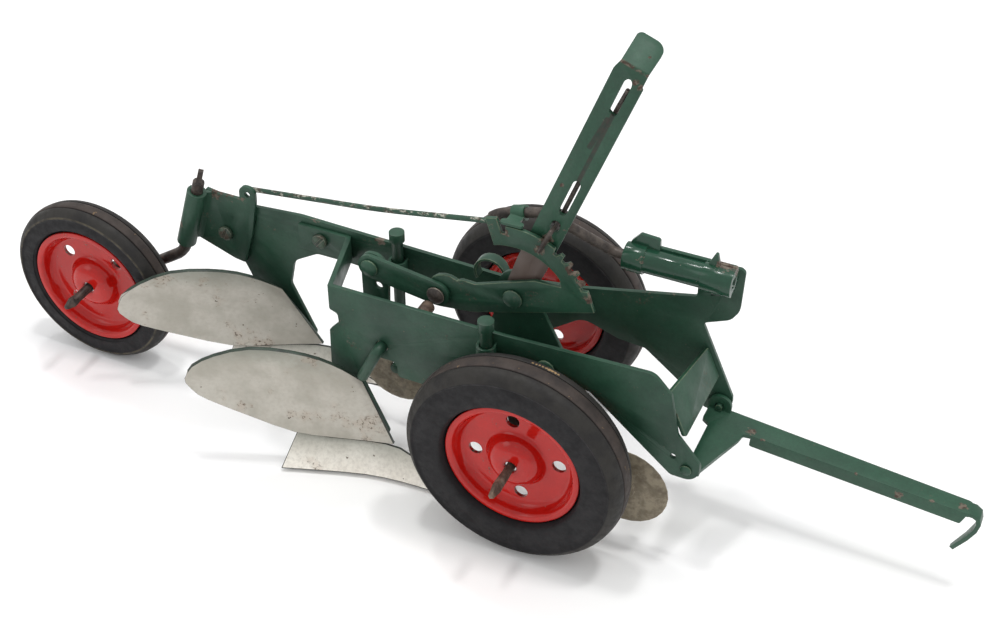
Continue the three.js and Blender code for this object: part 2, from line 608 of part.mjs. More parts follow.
// A post head is a short stub of the stem standing above its strap.
add('right_coulter_stem', joined(
  wire([
    [RIGHT_POST_X, RIGHT_POST_Y, PLATE_TOP + RIGHT_POST_TOP],
    [RIGHT_POST_X, RIGHT_POST_Y, 50],
    [RIGHT_DISC.x, RIGHT_POST_Y, RIGHT_DISC.z],
    [RIGHT_DISC.x, RIGHT_POST_Y + 5.4, RIGHT_DISC.z],
  ], STEM, 2.2),
  new THREE.CylinderGeometry(2.3, 2.3, 3, 20).rotateX(Math.PI / 2)
    .translate(RIGHT_POST_X, RIGHT_POST_Y, PLATE_TOP + RIGHT_POST_TOP - 1.2),
), 'green');
disc('right_disc', RIGHT_DISC.x, RIGHT_POST_Y + 3.4, RIGHT_DISC.z);
add('left_coulter_stem', joined(
  wire([
    [LEFT_POST_X, LEFT_POST_Y, BEAM_TOP + LEFT_POST_TOP],
    [LEFT_POST_X, LEFT_POST_Y, LEFT_DISC_Z],
    [LEFT_POST_X, LEFT_POST_Y - 5, LEFT_DISC_Z],
  ], STEM, 2.2),
  new THREE.CylinderGeometry(2.3, 2.3, 3, 20).rotateX(Math.PI / 2)
    .translate(LEFT_POST_X, LEFT_POST_Y, BEAM_TOP + LEFT_POST_TOP - 1.2),
), 'green');
disc('left_disc', LEFT_POST_X, LEFT_POST_Y - 2.9, LEFT_DISC_Z);

// ---------------------------------------------------------------- rear bracket and crank
const bracketY = LEFT_BEAM_Y - SHEET / 2 - GAP - SHEET / 2;
const sleeveBore = WIRE / 2 + 0.1;
const sleeveOuter = sleeveBore + SLEEVE_WALL;
const sleeveUp = [Math.sin(SLEEVE_LEAN), Math.cos(SLEEVE_LEAN)];
const sleeveMiddle = {
  x: SLEEVE_FOOT.x + sleeveUp[0] * SLEEVE_LENGTH / 2,
  z: SLEEVE_FOOT.z + sleeveUp[1] * SLEEVE_LENGTH / 2,
};
const EYE = { x: -103.9, z: 68.6, radius: 2.7, hole: 1 };
const bracket = plate([
  [-118.6, 66.8], [-114.6, 66.2], [-106.8, 66.2], [-106.6, EYE.z + 2.7, 2.4], [-101.2, EYE.z + 2.7, 2.4],
  [-101.4, 66], [-103.8, 54], [-107.2, 42.6, 1.2], [-111, 43.2, 3], [-116.2, 45], [-123.4, 47.6],
], {
  y: bracketY,
  holes: [circle(EYE.x, EYE.z, EYE.hole), circle(BRACKET_SCREW.x, BRACKET_SCREW.z, SHANK_HOLE)],
});
// The web turns towards the sleeve and runs along it, ending half-way through its wall.
const WEB_FOOT = { x: -122.6, z: 48.2 };
const sleeveAt = SLEEVE_FOOT.x + (WEB_FOOT.z - SLEEVE_FOOT.z) * Math.tan(SLEEVE_LEAN) - WEB_FOOT.x;
const webWay = new THREE.Vector2(sleeveAt * Math.cos(SLEEVE_LEAN), CRANK_Y - bracketY);
const webLength = webWay.length() - sleeveBore - SLEEVE_WALL / 2;
webWay.normalize();
const webCorner = (length, side) => [
  0.3 + webWay.x * length - webWay.y * side * SHEET / 2, webWay.y * length + webWay.x * side * SHEET / 2,
];
const web = level([webCorner(0, -1), webCorner(0, 1), webCorner(webLength, 1), webCorner(webLength, -1)], 0, SLEEVE_LENGTH - 2);
web.rotateY(SLEEVE_LEAN).translate(WEB_FOOT.x, bracketY, WEB_FOOT.z);
const alongSleeve = (radius, length) => new THREE.CylinderGeometry(radius, radius, length, 20)
  .rotateX(Math.PI / 2)
  .rotateY(SLEEVE_LEAN)
  .translate(sleeveMiddle.x, CRANK_Y, sleeveMiddle.z);
const bracketBody = joined(bracket, web, alongSleeve(sleeveOuter, SLEEVE_LENGTH));
add('rear_bracket', cut(bracketBody, alongSleeve(sleeveBore, SLEEVE_LENGTH + 10)), 'green');
add('bracket_screw', screw(), 'steel', {
  at: [BRACKET_SCREW.x, bracketY - SHEET / 2 - GAP, BRACKET_SCREW.z], turn: [0, 0.4, 0],
});

// The crank drops from the sleeve, runs back beside the wheel and turns through its hub.
const crankTop = SLEEVE_LENGTH + 5;
const along = (distance) => [
  SLEEVE_FOOT.x + sleeveUp[0] * distance, CRANK_Y, SLEEVE_FOOT.z + sleeveUp[1] * distance,
];
const crankSpade = level([
  [-0.3 * WIRE, 0], [0.3 * WIRE, 0], [0.62 * WIRE, 4, 1.5], [0.2 * WIRE, 7.6, 0.6], [-0.2 * WIRE, 7.6, 0.6],
  [-0.62 * WIRE, 4, 1.5],
], -0.22 * WIRE, 0.44 * WIRE)
  .rotateX(Math.PI / 2)
  .rotateZ(-0.36 * Math.PI)
  .rotateY(SLEEVE_LEAN)
  .translate(...along(crankTop - 4));
add('rear_crank', joined(
  wire([
    along(crankTop - 1),
    along(-4.5),
    [REAR_AXLE.x + 12, CRANK_Y, REAR_AXLE_Z + 3],
    [REAR_AXLE.x, CRANK_Y, REAR_AXLE_Z],
    [REAR_AXLE.x, REAR_AXLE.hubY - STUB + 3, REAR_AXLE_Z],
  ], WIRE, 3.6),
  crankSpade,
  spade(REAR_AXLE.x, REAR_AXLE_Z, REAR_AXLE.hubY - STUB - 1, REAR_AXLE.hubY - STUB + 5),
), 'steel');

// ---------------------------------------------------------------- quadrant, stand and link
const [QX, QZ] = [LEVER_PIVOT.x, LEVER_PIVOT.z];
const LINK_REAR = { x: -55, z: 66.4 };
const LINK_FRONT = { x: -34.2, z: 63.4 };
function quadrantShape() {
  const shape = new THREE.Shape();
  const at = (degrees, radius) => {
    const a = THREE.MathUtils.degToRad(degrees);
    return [QX + radius * Math.cos(a), QZ + radius * Math.sin(a)];
  };
  const inner = QUADRANT_RADIUS - QUADRANT_BAND;
  shape.moveTo(LINK_FRONT.x, LINK_FRONT.z - 5.2);
  shape.lineTo(-24, 59.4);
  shape.lineTo(...at(6, QUADRANT_RADIUS + 0.6));
  shape.lineTo(...at(22, QUADRANT_RADIUS));
  const pitch = (62 - 22) / QUADRANT_TEETH;
  for (let i = 0; i < QUADRANT_TEETH; i += 1) {
    const start = 22 + i * pitch;
    shape.lineTo(...at(start + 0.16 * pitch, QUADRANT_RADIUS - 1.7));
    shape.lineTo(...at(start + 0.5 * pitch, QUADRANT_RADIUS - 1.7));
    shape.lineTo(...at(start + 0.66 * pitch, QUADRANT_RADIUS));
    shape.lineTo(...at(start + pitch, QUADRANT_RADIUS));
  }
  for (let degrees = 68; degrees <= 96; degrees += 7) {
    shape.lineTo(...at(degrees, QUADRANT_RADIUS));
  }
  shape.lineTo(...at(97, QUADRANT_RADIUS - 2.4));
  shape.lineTo(...at(100, QUADRANT_RADIUS - 2.4));
  shape.lineTo(...at(101.5, QUADRANT_RADIUS + 2.2));
  shape.lineTo(...at(109, QUADRANT_RADIUS + 2.4));
  for (let degrees = 110; degrees >= 34; degrees -= 6) {
    shape.lineTo(...at(degrees, inner));
  }
  shape.lineTo(...at(30, inner - 1));
  shape.lineTo(...at(52, 9.8));
  shape.lineTo(-23, 69.4);
  shape.lineTo(-27, 69.6);
  shape.absarc(LINK_FRONT.x + 2.6, LINK_FRONT.z + 0.4, 6, 1, Math.PI, false);
  shape.lineTo(LINK_FRONT.x - 3.4, LINK_FRONT.z - 1);
  shape.absarc(LINK_FRONT.x, LINK_FRONT.z - 1.8, 3.4, Math.PI, 1.5 * Math.PI, false);
  return shape;
}
add('quadrant', plate(quadrantShape(), {
  y: QUADRANT_Y,
  holes: [circle(QX, QZ, 1.9), circle(LINK_FRONT.x, LINK_FRONT.z, 1.5)],
}), 'green');

// The stand rises behind the lever; its foot turns in to the right side plate.
const standFootZ = 44;
const stand = plate([
  [QX - 9.5, standFootZ], [QX + 13.4, standFootZ], [QX + 13.2, 51, 1.5], [QX + 5.6, QZ - 2, 2],
  [QX + 6, QZ + 6, 5.4], [QX - 6, QZ + 6, 5.4], [QX - 6.5, QZ - 6, 2], [QX - 9.5, 52, 2],
], { y: STAND_Y, holes: [circle(QX, QZ, 1.9)] });
const standFoot = level([
  [QX - 9.5, RIGHT_PLATE_Y + SHEET / 2 + GAP], [QX + 13.4, RIGHT_PLATE_Y + SHEET / 2 + GAP],
  [QX + 13.4, STAND_Y + SHEET / 2], [QX - 9.5, STAND_Y + SHEET / 2],
], standFootZ - SHEET / 2);
add('quadrant_stand', joined(stand, standFoot), 'green');

// One rivet carries the quadrant, the lever and the stand.
add('lever_rivet', joined(
  rivetHead(5.8, 1.6).translate(QX, QUADRANT_Y - SHEET / 2 - GAP, QZ),
  pin(QX, QZ, QUADRANT_Y - SHEET / 2 - GAP - 0.2, STAND_Y + SHEET / 2 + 1, 1.6),
), 'green');

const LINK_WIDTH = 7.6;
const linkY = QUADRANT_Y - SHEET - GAP;
const linkLength = Math.hypot(LINK_FRONT.x - LINK_REAR.x, LINK_FRONT.z - LINK_REAR.z);
const linkHalf = LINK_WIDTH / 2;
add('link_strap', plate([
  [-linkHalf, -linkHalf, 3.7], [linkLength + linkHalf, -linkHalf, 3.7],
  [linkLength + linkHalf, linkHalf, 3.7], [-linkHalf, linkHalf, 3.7],
], { holes: [circle(0, 0, 1.5), circle(linkLength, 0, 1.5)] }), 'green', {
  at: [LINK_REAR.x, linkY, LINK_REAR.z],
  turn: [0, -Math.atan2(LINK_FRONT.z - LINK_REAR.z, LINK_FRONT.x - LINK_REAR.x), 0],
});

// The link post stands on a foot that turns in to the right side plate.
const postFoot = level([
  [-58.6, RIGHT_PLATE_Y + SHEET / 2 + GAP], [-50.6, RIGHT_PLATE_Y + SHEET / 2 + GAP],
  [-50.6, QUADRANT_Y + SHEET / 2], [-58.6, QUADRANT_Y + SHEET / 2],
], 50);
const linkPost = plate([
  [-58.6, 50], [-50.6, 50], [-50.2, 60, 1.5], [-51.2, 70.2, 3.7], [-58.8, 70.2, 3.7],
], { y: QUADRANT_Y, holes: [circle(LINK_REAR.x, LINK_REAR.z, 1.5), circle(-53.4, 59.4, 1.3)] });
add('link_post', joined(linkPost, postFoot), 'green');
add('link_rear_rivet', joined(
  rivetHead(RIVET_HEAD, 1.5).translate(LINK_REAR.x, linkY - SHEET / 2 - GAP, LINK_REAR.z),
  pin(LINK_REAR.x, LINK_REAR.z, linkY - SHEET / 2 - GAP - 0.2, QUADRANT_Y + SHEET / 2 + 1, 1.2),
), 'green');
// The link's front rivet is a long pin that reaches across to the right side plate.
add('link_front_pin', joined(
  rivetHead(RIVET_HEAD, 1.5).translate(LINK_FRONT.x, linkY - SHEET / 2 - GAP, LINK_FRONT.z),
  pin(LINK_FRONT.x, LINK_FRONT.z, linkY - SHEET / 2 - GAP - 0.2, QUADRANT_Y + SHEET / 2 + 1.5, 1.2),
), 'steel');
add('quadrant_spacer', pin(
  LINK_FRONT.x - 1.4, PLATE_TOP - 2.6,
  RIGHT_PLATE_Y + SHEET / 2 + GAP, linkY - SHEET / 2 - 2.2, 2, 18,
), 'steel');

// ---------------------------------------------------------------- lift lever and its pawl
const leverGroup = new THREE.Group();
leverGroup.position.set(QX, LEVER_Y, QZ);
leverGroup.rotation.y = LEVER_LEAN;
plough.add(leverGroup);
const half = LEVER_WIDTH / 2;
const WIRE_LINE = 0.9;         // the pawl's wire runs this far ahead of the lever's middle
const PAWL_HOLE = 27.7;
const blade = plate([
  [-half + 0.8, -half - 0.6, 3.3], [half - 0.8, -half - 0.6, 3.3], [half, 12], [half + 0.2, LEVER_LENGTH - 4.7, 0.4],
  [half - 0.2, LEVER_LENGTH - 4.3], [half - 0.2, LEVER_LENGTH], [-half + 0.8, LEVER_LENGTH],
  [-half, LEVER_LENGTH - 2.8, 0.8], [-half, 12],
], {
  holes: [
    circle(0, 0, 1.9),
    outline([[-1.9, 68.4, 0.6], [2.6, 67.4, 1.4], [2.6, 79.4, 2.1], [-1.9, 79.4, 2.1]]),
    slot(WIRE_LINE + 0.2, 38.5, 3.9, 12.4),
    slot(WIRE_LINE, PAWL_HOLE + 0.3, 2.6, 3.8),
  ],
});
// The thumb pad is the top of the blade, folded away to the left.
const pad = plate([
  [-half + 0.8, 0], [half - 0.2, 0], [half - 0.2, PAD_LENGTH, 3], [-half + 0.4, PAD_LENGTH, 1.5],
]).rotateX(-PAD_FOLD).translate(0, 0, LEVER_LENGTH);
const padKnuckle = new THREE.CylinderGeometry(SHEET / 2, SHEET / 2, LEVER_WIDTH - 1, 16)
  .rotateZ(Math.PI / 2)
  .translate(0.3, 0, LEVER_LENGTH);
add('lift_lever', joined(blade, padKnuckle, pad), 'green', { into: leverGroup });

const PAWL = 1.3;
const pawlBehind = SHEET / 2 + GAP + PAWL / 2;
const pawlFront = -(LEVER_Y - QUADRANT_Y) - SHEET / 2 - GAP - PAWL / 2;
add('lever_pawl', wire([
  [WIRE_LINE + 0.4, pawlBehind - 1.2, 76],
  [WIRE_LINE, pawlBehind, 69],
  [WIRE_LINE, pawlBehind, PAWL_HOLE],
  [WIRE_LINE, pawlFront, PAWL_HOLE],
  [WIRE_LINE - 0.4, pawlFront, 20],
], PAWL, 1.2), 'steel', { into: leverGroup });

// ---------------------------------------------------------------- rods and front sleeve
const FRONT_SLEEVE = { x0: 15, x1: 45.4, z: 81, outer: 3.5, bore: 1.5 };
const frontSleeveY = beamInnerY(36) - GAP - FRONT_SLEEVE.outer - 0.5;
function collar(x0, x1, outer) {
  return tube(outer, FRONT_SLEEVE.bore, x1 - x0).rotateZ(Math.PI / 2)
    .translate((x0 + x1) / 2, frontSleeveY, FRONT_SLEEVE.z);
}
add('front_sleeve', joined(
  collar(FRONT_SLEEVE.x0, FRONT_SLEEVE.x1, FRONT_SLEEVE.outer),
  collar(FRONT_SLEEVE.x0, FRONT_SLEEVE.x0 + 5.8, FRONT_SLEEVE.outer + 0.5),
  collar(FRONT_SLEEVE.x1 - 8.4, FRONT_SLEEVE.x1, FRONT_SLEEVE.outer + 0.5),
  plate([
    [FRONT_SLEEVE.x0 + 0.6, 83], [FRONT_SLEEVE.x0 + 9.2, 83], [FRONT_SLEEVE.x0 + 9, 87.8, 0.8],
    [FRONT_SLEEVE.x0 + 3.4, 88.2, 0.8], [FRONT_SLEEVE.x0 + 1, 85.4, 0.6],
  ], { y: frontSleeveY + 1.6 }),
  plate([
    [FRONT_SLEEVE.x1 - 8.2, 83.4], [FRONT_SLEEVE.x1 - 4, 83.4], [FRONT_SLEEVE.x1 - 5.4, 89.6, 0.5],
  ], { y: frontSleeveY + 0.8 }),
  plate([
    [FRONT_SLEEVE.x0 + 5, 82], [FRONT_SLEEVE.x1, 82], [FRONT_SLEEVE.x1, 84.8, 0.6], [FRONT_SLEEVE.x0 + 5, 84.8],
  ], { y: frontSleeveY + 2.3 }),
), 'green');

const arcTop = LEVER_PIVOT.z + QUADRANT_RADIUS;
const rodClip = { x: -12.4, z: arcTop + GAP + 0.4, y: STAND_Y + 1.9 };
const ADJUSTER = 2.3;
const ROD_RISE = 0.28;
add('adjuster_rod', wire([
  [rodClip.x - 8.4, rodClip.y, rodClip.z - 3.6],
  [rodClip.x - 5.4, rodClip.y, rodClip.z - 5.4 * ROD_RISE],
  [rodClip.x + 7.5, rodClip.y, rodClip.z + 7.5 * ROD_RISE],
  [FRONT_SLEEVE.x0 - 3.6, frontSleeveY, FRONT_SLEEVE.z],
  [FRONT_SLEEVE.x1 - 1, frontSleeveY, FRONT_SLEEVE.z],
], ADJUSTER, 2), 'steel');

// The clip wraps the adjuster rod; its foot lies on top of the quadrant's arc.
const clipInner = ADJUSTER / 2 + 0.25;
const clip = joined(
  tube(clipInner + 0.8, clipInner, 3.8, 20).rotateZ(Math.PI / 2).rotateY(-Math.atan(ROD_RISE))
    .translate(rodClip.x, rodClip.y, rodClip.z),
  level([
    [rodClip.x - 3.1, QUADRANT_Y - SHEET / 2, 0.6], [rodClip.x + 3.4, QUADRANT_Y - SHEET / 2, 0.6],
    [rodClip.x + 3.4, QUADRANT_Y + SHEET / 2 + 0.4, 0.6], [rodClip.x + 1.9, QUADRANT_Y + SHEET / 2 + 0.8],
    [rodClip.x + 1.9, rodClip.y - clipInner - 0.25], [rodClip.x - 1.9, rodClip.y - clipInner - 0.25],
    [rodClip.x - 1.9, QUADRANT_Y + SHEET / 2 + 0.8], [rodClip.x - 3.1, QUADRANT_Y + SHEET / 2 + 0.4, 0.6],
  ], rodClip.z - 0.4, 0.8),
);
add('rod_clip', clip, 'green');

const rodRearY = bracketY + SHEET / 2 + GAP + ROD / 2;
const rodFrontY = QUADRANT_Y + SHEET / 2 + GAP + ROD / 2;
add('stay_rod', wire([
  [EYE.x - 0.5, rodRearY, EYE.z + 0.6],
  [-86, 39.5, 72.6],
  [-57, 34.4, 79.6],
  [QX - 8.4, rodFrontY, QZ + 21.8],
], ROD, 12), 'green');

// A curled strip clips over the top edge of the left beam.
const curl = new THREE.Shape();
curl.absarc(0, 0, 5, -0.6, Math.PI + 0.6, false);
curl.absarc(0, 0, 4.2, Math.PI + 0.6, -0.6, true);
add('beam_clip', new THREE.ExtrudeGeometry(curl, { depth: 3.4, bevelEnabled: false, curveSegments: 7 })
  .rotateX(Math.PI / 2), 'green', { at: [-23.4, LEFT_BEAM_Y - SHEET / 2 - GAP, BEAM_TOP + 1.9] });

// ---------------------------------------------------------------- drawbar
// Drawn level from its pivot axis, then drooped.
const drawbarGroup = new THREE.Group();
drawbarGroup.position.set(HITCH.x, 0, HITCH.z);
drawbarGroup.rotation.y = DRAWBAR_DROOP;
plough.add(drawbarGroup);
const earNear = RIGHT_PLATE_Y + SHEET / 2 + GAP;
const earFar = beamInnerY(HITCH.x - 3) - GAP;
const barNear = earFar - BAR_WIDTH - 0.6;
const barNearTip = barNear - 1.3;
const barFarTip = barNearTip + BAR_WIDTH - BAR_TAPER;
const deckEnd = DRAWBAR_LENGTH - 1;
const deck = level([
  [-0.6, earNear], [2.8, earNear, 0.8], [8.9, barNear - 3.2], [9.4, barNear - 0.4, 0.6], [11.4, barNear],
  [deckEnd, barNearTip, 0.8], [deckEnd, barFarTip, 1.5], [3, earFar, 1],
  [-3, earFar], [-3, earFar - 6.5, 0.6], [-0.8, earFar - 7.9, 0.6],
], -DRAWBAR_DROP - SHEET);
const flange = plate([
  [11.4, -DRAWBAR_DROP - 0.1], [11.4, -DRAWBAR_DROP - BAR_FLANGE, 0.6],
  [deckEnd - 2, -DRAWBAR_DROP - BAR_FLANGE - 0.5, 0.6], [deckEnd - 0.6, -DRAWBAR_DROP - 0.1],
]).translate(-11.4, SHEET / 2, 0)
  .rotateZ(Math.atan2(barNearTip - barNear, deckEnd - 11.4))
  .translate(11.4, barNear, 0);
const ear = (y) => plate([
  [-3.4, -DRAWBAR_DROP - SHEET, 0.4], [3.4, -DRAWBAR_DROP - SHEET, 0.4], [3.4, 3.4, 3.2], [-3.4, 3.4, 3.2],
], { y, holes: [circle(0, 0, HITCH_PIN + GAP)] });
// The hook is a tongue of the deck, turned down and back and narrowing to its tip: x, z, width.
const hookMiddle = (barNearTip + barFarTip) / 2;
const tongue = [
  [-3, -0.6, 4.6], [0.8, -0.7, 4.5], [2.2, -1.5, 4.3], [2.8, -3.4, 4], [2.4, -6.4, 3.4], [0.9, -10.4, 2.6], [-1.9, -16, 1.3],
];
function tongueSolid(stations, thickness) {
  const positions = [];
  const index = [];
  stations.forEach(([x, z, width], i) => {
    const [before, after] = [stations[Math.max(i - 1, 0)], stations[Math.min(i + 1, stations.length - 1)]];
    const way = new THREE.Vector2(after[0] - before[0], after[1] - before[1]).normalize();
    for (const [across, up] of [[-1, -1], [1, -1], [1, 1], [-1, 1]]) {
      positions.push(
        deckEnd + x - way.y * up * thickness / 2,
        hookMiddle + across * width / 2,
        -DRAWBAR_DROP + z + way.x * up * thickness / 2,
      );
    }
    if (i === 0) return;
    for (let k = 0; k < 4; k += 1) {
      const [a, b] = [4 * (i - 1) + k, 4 * (i - 1) + (k + 1) % 4];
      index.push(a, b, b + 4, a, b + 4, a + 4);
    }
  });
  const last = 4 * (stations.length - 1);
  index.push(0, 2, 1, 0, 3, 2, last, last + 1, last + 2, last, last + 2, last + 3);
  const geometry = new THREE.BufferGeometry();
  geometry.setAttribute('position', new THREE.Float32BufferAttribute(positions, 3));
  geometry.setIndex(index);
  return geometry;
}
const hook = tongueSolid(tongue, SHEET - 0.02);
add('drawbar', joined(deck, flange, ear(earNear + SHEET / 2), ear(earFar - SHEET / 2), hook), 'green', {
  into: drawbarGroup,
});
add('right_hitch_rivet', joined(
  rivetHead(4.4, 1).translate(HITCH.x, RIGHT_PLATE_Y - SHEET / 2 - GAP, HITCH.z),
  pin(HITCH.x, HITCH.z, RIGHT_PLATE_Y - SHEET / 2 - GAP - 0.2, earNear + SHEET + 1, HITCH_PIN),
), 'green');
const farPinEnd = beamInnerY(HITCH.x) + SHEET + 1.6;
add('left_hitch_rivet', pin(HITCH.x, HITCH.z, earFar - SHEET - 1, farPinEnd, HITCH_PIN), 'green');

// ---------------------------------------------------------------- origin on the floor, mid-box
plough.updateMatrixWorld(true);
const box = new THREE.Box3().setFromObject(plough, true);
plough.position.set(-(box.min.x + box.max.x) / 2, -(box.min.y + box.max.y) / 2, -box.min.z);
plough.updateMatrixWorld(true);

export default plough;
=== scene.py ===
"""Looks of the pressed-steel toy plough: rolled sheet edges, wheels turned from profiles, enamel and wear."""

import json
import math

import bmesh
import bpy
from mathutils import Matrix, Vector

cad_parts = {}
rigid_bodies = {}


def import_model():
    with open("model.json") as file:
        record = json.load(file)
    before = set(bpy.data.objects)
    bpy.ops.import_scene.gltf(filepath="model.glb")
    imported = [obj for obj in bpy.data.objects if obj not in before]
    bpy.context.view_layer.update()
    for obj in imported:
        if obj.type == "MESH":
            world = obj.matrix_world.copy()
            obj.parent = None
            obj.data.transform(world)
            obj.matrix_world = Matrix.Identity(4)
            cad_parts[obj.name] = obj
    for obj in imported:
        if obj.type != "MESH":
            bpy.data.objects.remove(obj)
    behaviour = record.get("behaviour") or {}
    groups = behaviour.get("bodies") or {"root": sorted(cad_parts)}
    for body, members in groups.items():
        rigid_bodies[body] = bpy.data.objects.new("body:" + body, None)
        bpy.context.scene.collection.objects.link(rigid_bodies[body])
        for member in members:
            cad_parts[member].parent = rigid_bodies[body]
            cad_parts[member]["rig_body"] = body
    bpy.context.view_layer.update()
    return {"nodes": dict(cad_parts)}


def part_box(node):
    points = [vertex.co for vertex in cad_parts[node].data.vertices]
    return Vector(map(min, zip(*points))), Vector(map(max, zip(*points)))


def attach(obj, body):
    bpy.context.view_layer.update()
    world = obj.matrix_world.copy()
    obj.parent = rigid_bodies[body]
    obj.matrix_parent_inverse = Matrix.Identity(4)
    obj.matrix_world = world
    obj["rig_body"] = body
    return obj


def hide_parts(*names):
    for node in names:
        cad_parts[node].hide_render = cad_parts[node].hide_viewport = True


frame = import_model()

MM = 0.001
HUB_LOW, HUB_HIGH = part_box("right_wheel_hub")
ORIGIN = Vector(((HUB_LOW.x + HUB_HIGH.x) / 2, HUB_LOW.y, 0.0))  # floor point below the right hub's outer face
LEVER_LEAN = math.radians(21.2)
LEVER_PIVOT = (-11.4, 29.0, 68.4)
LEVER_LENGTH = 82.8
LEVER_FACE = -0.6  # the blade's right face, across from its middle
LEVER_WAY = (math.sin(LEVER_LEAN), 0, math.cos(LEVER_LEAN))
FACES_RIGHT, FACES_LEFT = -1, 1  # the way a wheel's outer face looks along Y


def place(x, y, z):
    """A point of the model, in metres, from millimetres forwards, left and up from ORIGIN."""
    return ORIGIN + Vector((x, y, z)) * MM


def on_lever(x, y, up):
    """A point on the lift lever: millimetres forwards, left and along the blade from its pivot."""
    c, s = math.cos(LEVER_LEAN), math.sin(LEVER_LEAN)
    px, py, pz = LEVER_PIVOT
    return place(px + x * c + up * s, py + y, pz - x * s + up * c)


def colour(red, green, blue):
    """A colour given as 0-255 display values, in linear light."""
    def linear(c):
        c /= 255
        return c / 12.92 if c <= 0.04045 else ((c + 0.055) / 1.055) ** 2.4
    return (linear(red), linear(green), linear(blue), 1.0)


# ------------------------------------------------------------------ materials
MIX_SHARE, MIX_FIRST, MIX_SECOND, MIX_RESULT = 0, 6, 7, 2  # a Mix node's sockets for colours


class Paint:
    """A procedural material under construction, in the piece's own coordinates."""

    def __init__(self, name):
        self.material = bpy.data.materials.new(name)
        self.material.use_nodes = True
        self.tree = self.material.node_tree
        self.tree.nodes.clear()
        self.shader = self.tree.nodes.new("ShaderNodeBsdfPrincipled")
        output = self.tree.nodes.new("ShaderNodeOutputMaterial")
        self.tree.links.new(self.shader.outputs[0], output.inputs[0])
        self.place = self.tree.nodes.new("ShaderNodeTexCoord").outputs["Object"]

    def feed(self, node, index, value):
        if isinstance(value, bpy.types.NodeSocket):
            self.tree.links.new(value, node.inputs[index])
        else:
            node.inputs[index].default_value = value

    def math(self, operation, a, b=0.0):
        node = self.tree.nodes.new("ShaderNodeMath")
        node.operation = operation
        self.feed(node, 0, a)
        self.feed(node, 1, b)
        return node.outputs[0]

    def most(self, *values):
        """The largest of two or more masks."""
        result = values[0]
        for value in values[1:]:
            result = self.math("MAXIMUM", result, value)
        return result

    def vector(self, operation, *values):
        node = self.tree.nodes.new("ShaderNodeVectorMath")
        node.operation = operation
        for index, value in enumerate(values):
            self.feed(node, index, value)
        return node.outputs["Value"] if operation in ("DISTANCE", "DOT_PRODUCT") else node.outputs[0]

    def along(self, direction, start):
        """How far the surface lies from start, measured along a direction."""
        return self.math("SUBTRACT", self.vector("DOT_PRODUCT", self.place, direction), Vector(direction).dot(start))

    def off_line(self, start, end):
        """How far the surface lies from the straight line between two points."""
        way = (end - start).normalized()
        reach = self.math("MINIMUM", self.math("MAXIMUM", self.along(way, start), 0.0), (end - start).length)
        return self.vector("DISTANCE", self.place, self.vector("MULTIPLY_ADD", reach, way, start))

    def noise(self, size, detail=3.0, rough=0.55, stretch=(1, 1, 1)):
        """Noise whose features are about size millimetres across."""
        node = self.tree.nodes.new("ShaderNodeTexNoise")
        where = self.vector("MULTIPLY", self.place, stretch) if stretch != (1, 1, 1) else self.place
        self.feed(node, "Vector", where)
        self.feed(node, "Scale", 1 / (size * MM))
        self.feed(node, "Detail", detail)
        self.feed(node, "Roughness", rough)
        return node.outputs[0]

    def ramp(self, value, low, high, start=0.0, end=1.0):
        """Goes smoothly from start to end as the value goes from low to high."""
        node = self.tree.nodes.new("ShaderNodeMapRange")
        node.interpolation_type = "SMOOTHSTEP"
        for index, item in enumerate((value, low, high, start, end)):
            self.feed(node, index, item)
        return node.outputs[0]

    def mix(self, share, a, b):
        """The colour a, going over to b as the share goes from 0 to 1."""
        node = self.tree.nodes.new("ShaderNodeMix")
        node.data_type = "RGBA"
        self.feed(node, MIX_SHARE, share)
        self.feed(node, MIX_FIRST, a)
        self.feed(node, MIX_SECOND, b)
        return node.outputs[MIX_RESULT]

    def attribute(self, name):
        node = self.tree.nodes.new("ShaderNodeAttribute")
        node.attribute_name = name
        return node.outputs["Fac"]

    def spots(self, points):
        """A mask round points with ragged borders, from pairs of a point and its radius in millimetres."""
        ragged = self.ramp(self.noise(1.1, 4, 0.7), 0.3, 0.7, -0.45, 0.45)
        mask = 0.0
        for point, radius in points:
            distance = self.vector("DISTANCE", self.place, point)
            near = self.math("ADD", self.math("DIVIDE", distance, radius * MM), ragged)
            mask = self.math("MAXIMUM", self.ramp(near, 0.75, 1.0, 1.0, 0.0), mask)
        return mask

    def finish(self, base, rough, metal=0.0, relief=None, depth=0.05, specular=0.5):
        """Feeds the shader; depth is the relief's height in millimetres."""
        self.feed(self.shader, "Base Color", base)
        self.feed(self.shader, "Roughness", rough)
        self.feed(self.shader, "Metallic", metal)
        self.feed(self.shader, "Specular IOR Level", specular)
        if relief is not None:
            bump = self.tree.nodes.new("ShaderNodeBump")
            self.feed(bump, "Strength", 1.0)
            self.feed(bump, "Distance", depth * MM)
            self.feed(bump, "Height", relief)
            self.tree.links.new(bump.outputs[0], self.shader.inputs["Normal"])
        return self.material


RUST = colour(66, 50, 40)
DULL_METAL, PALE_METAL = colour(104, 95, 83), colour(178, 176, 164)  # what shows where enamel is gone
UNPAINTED = colour(92, 80, 74), colour(70, 60, 56)
# painted shade: the tones of dark lines along a crease and beside a wire
CREASE_SHADE_TONES = colour(22, 28, 24), colour(50, 42, 35)


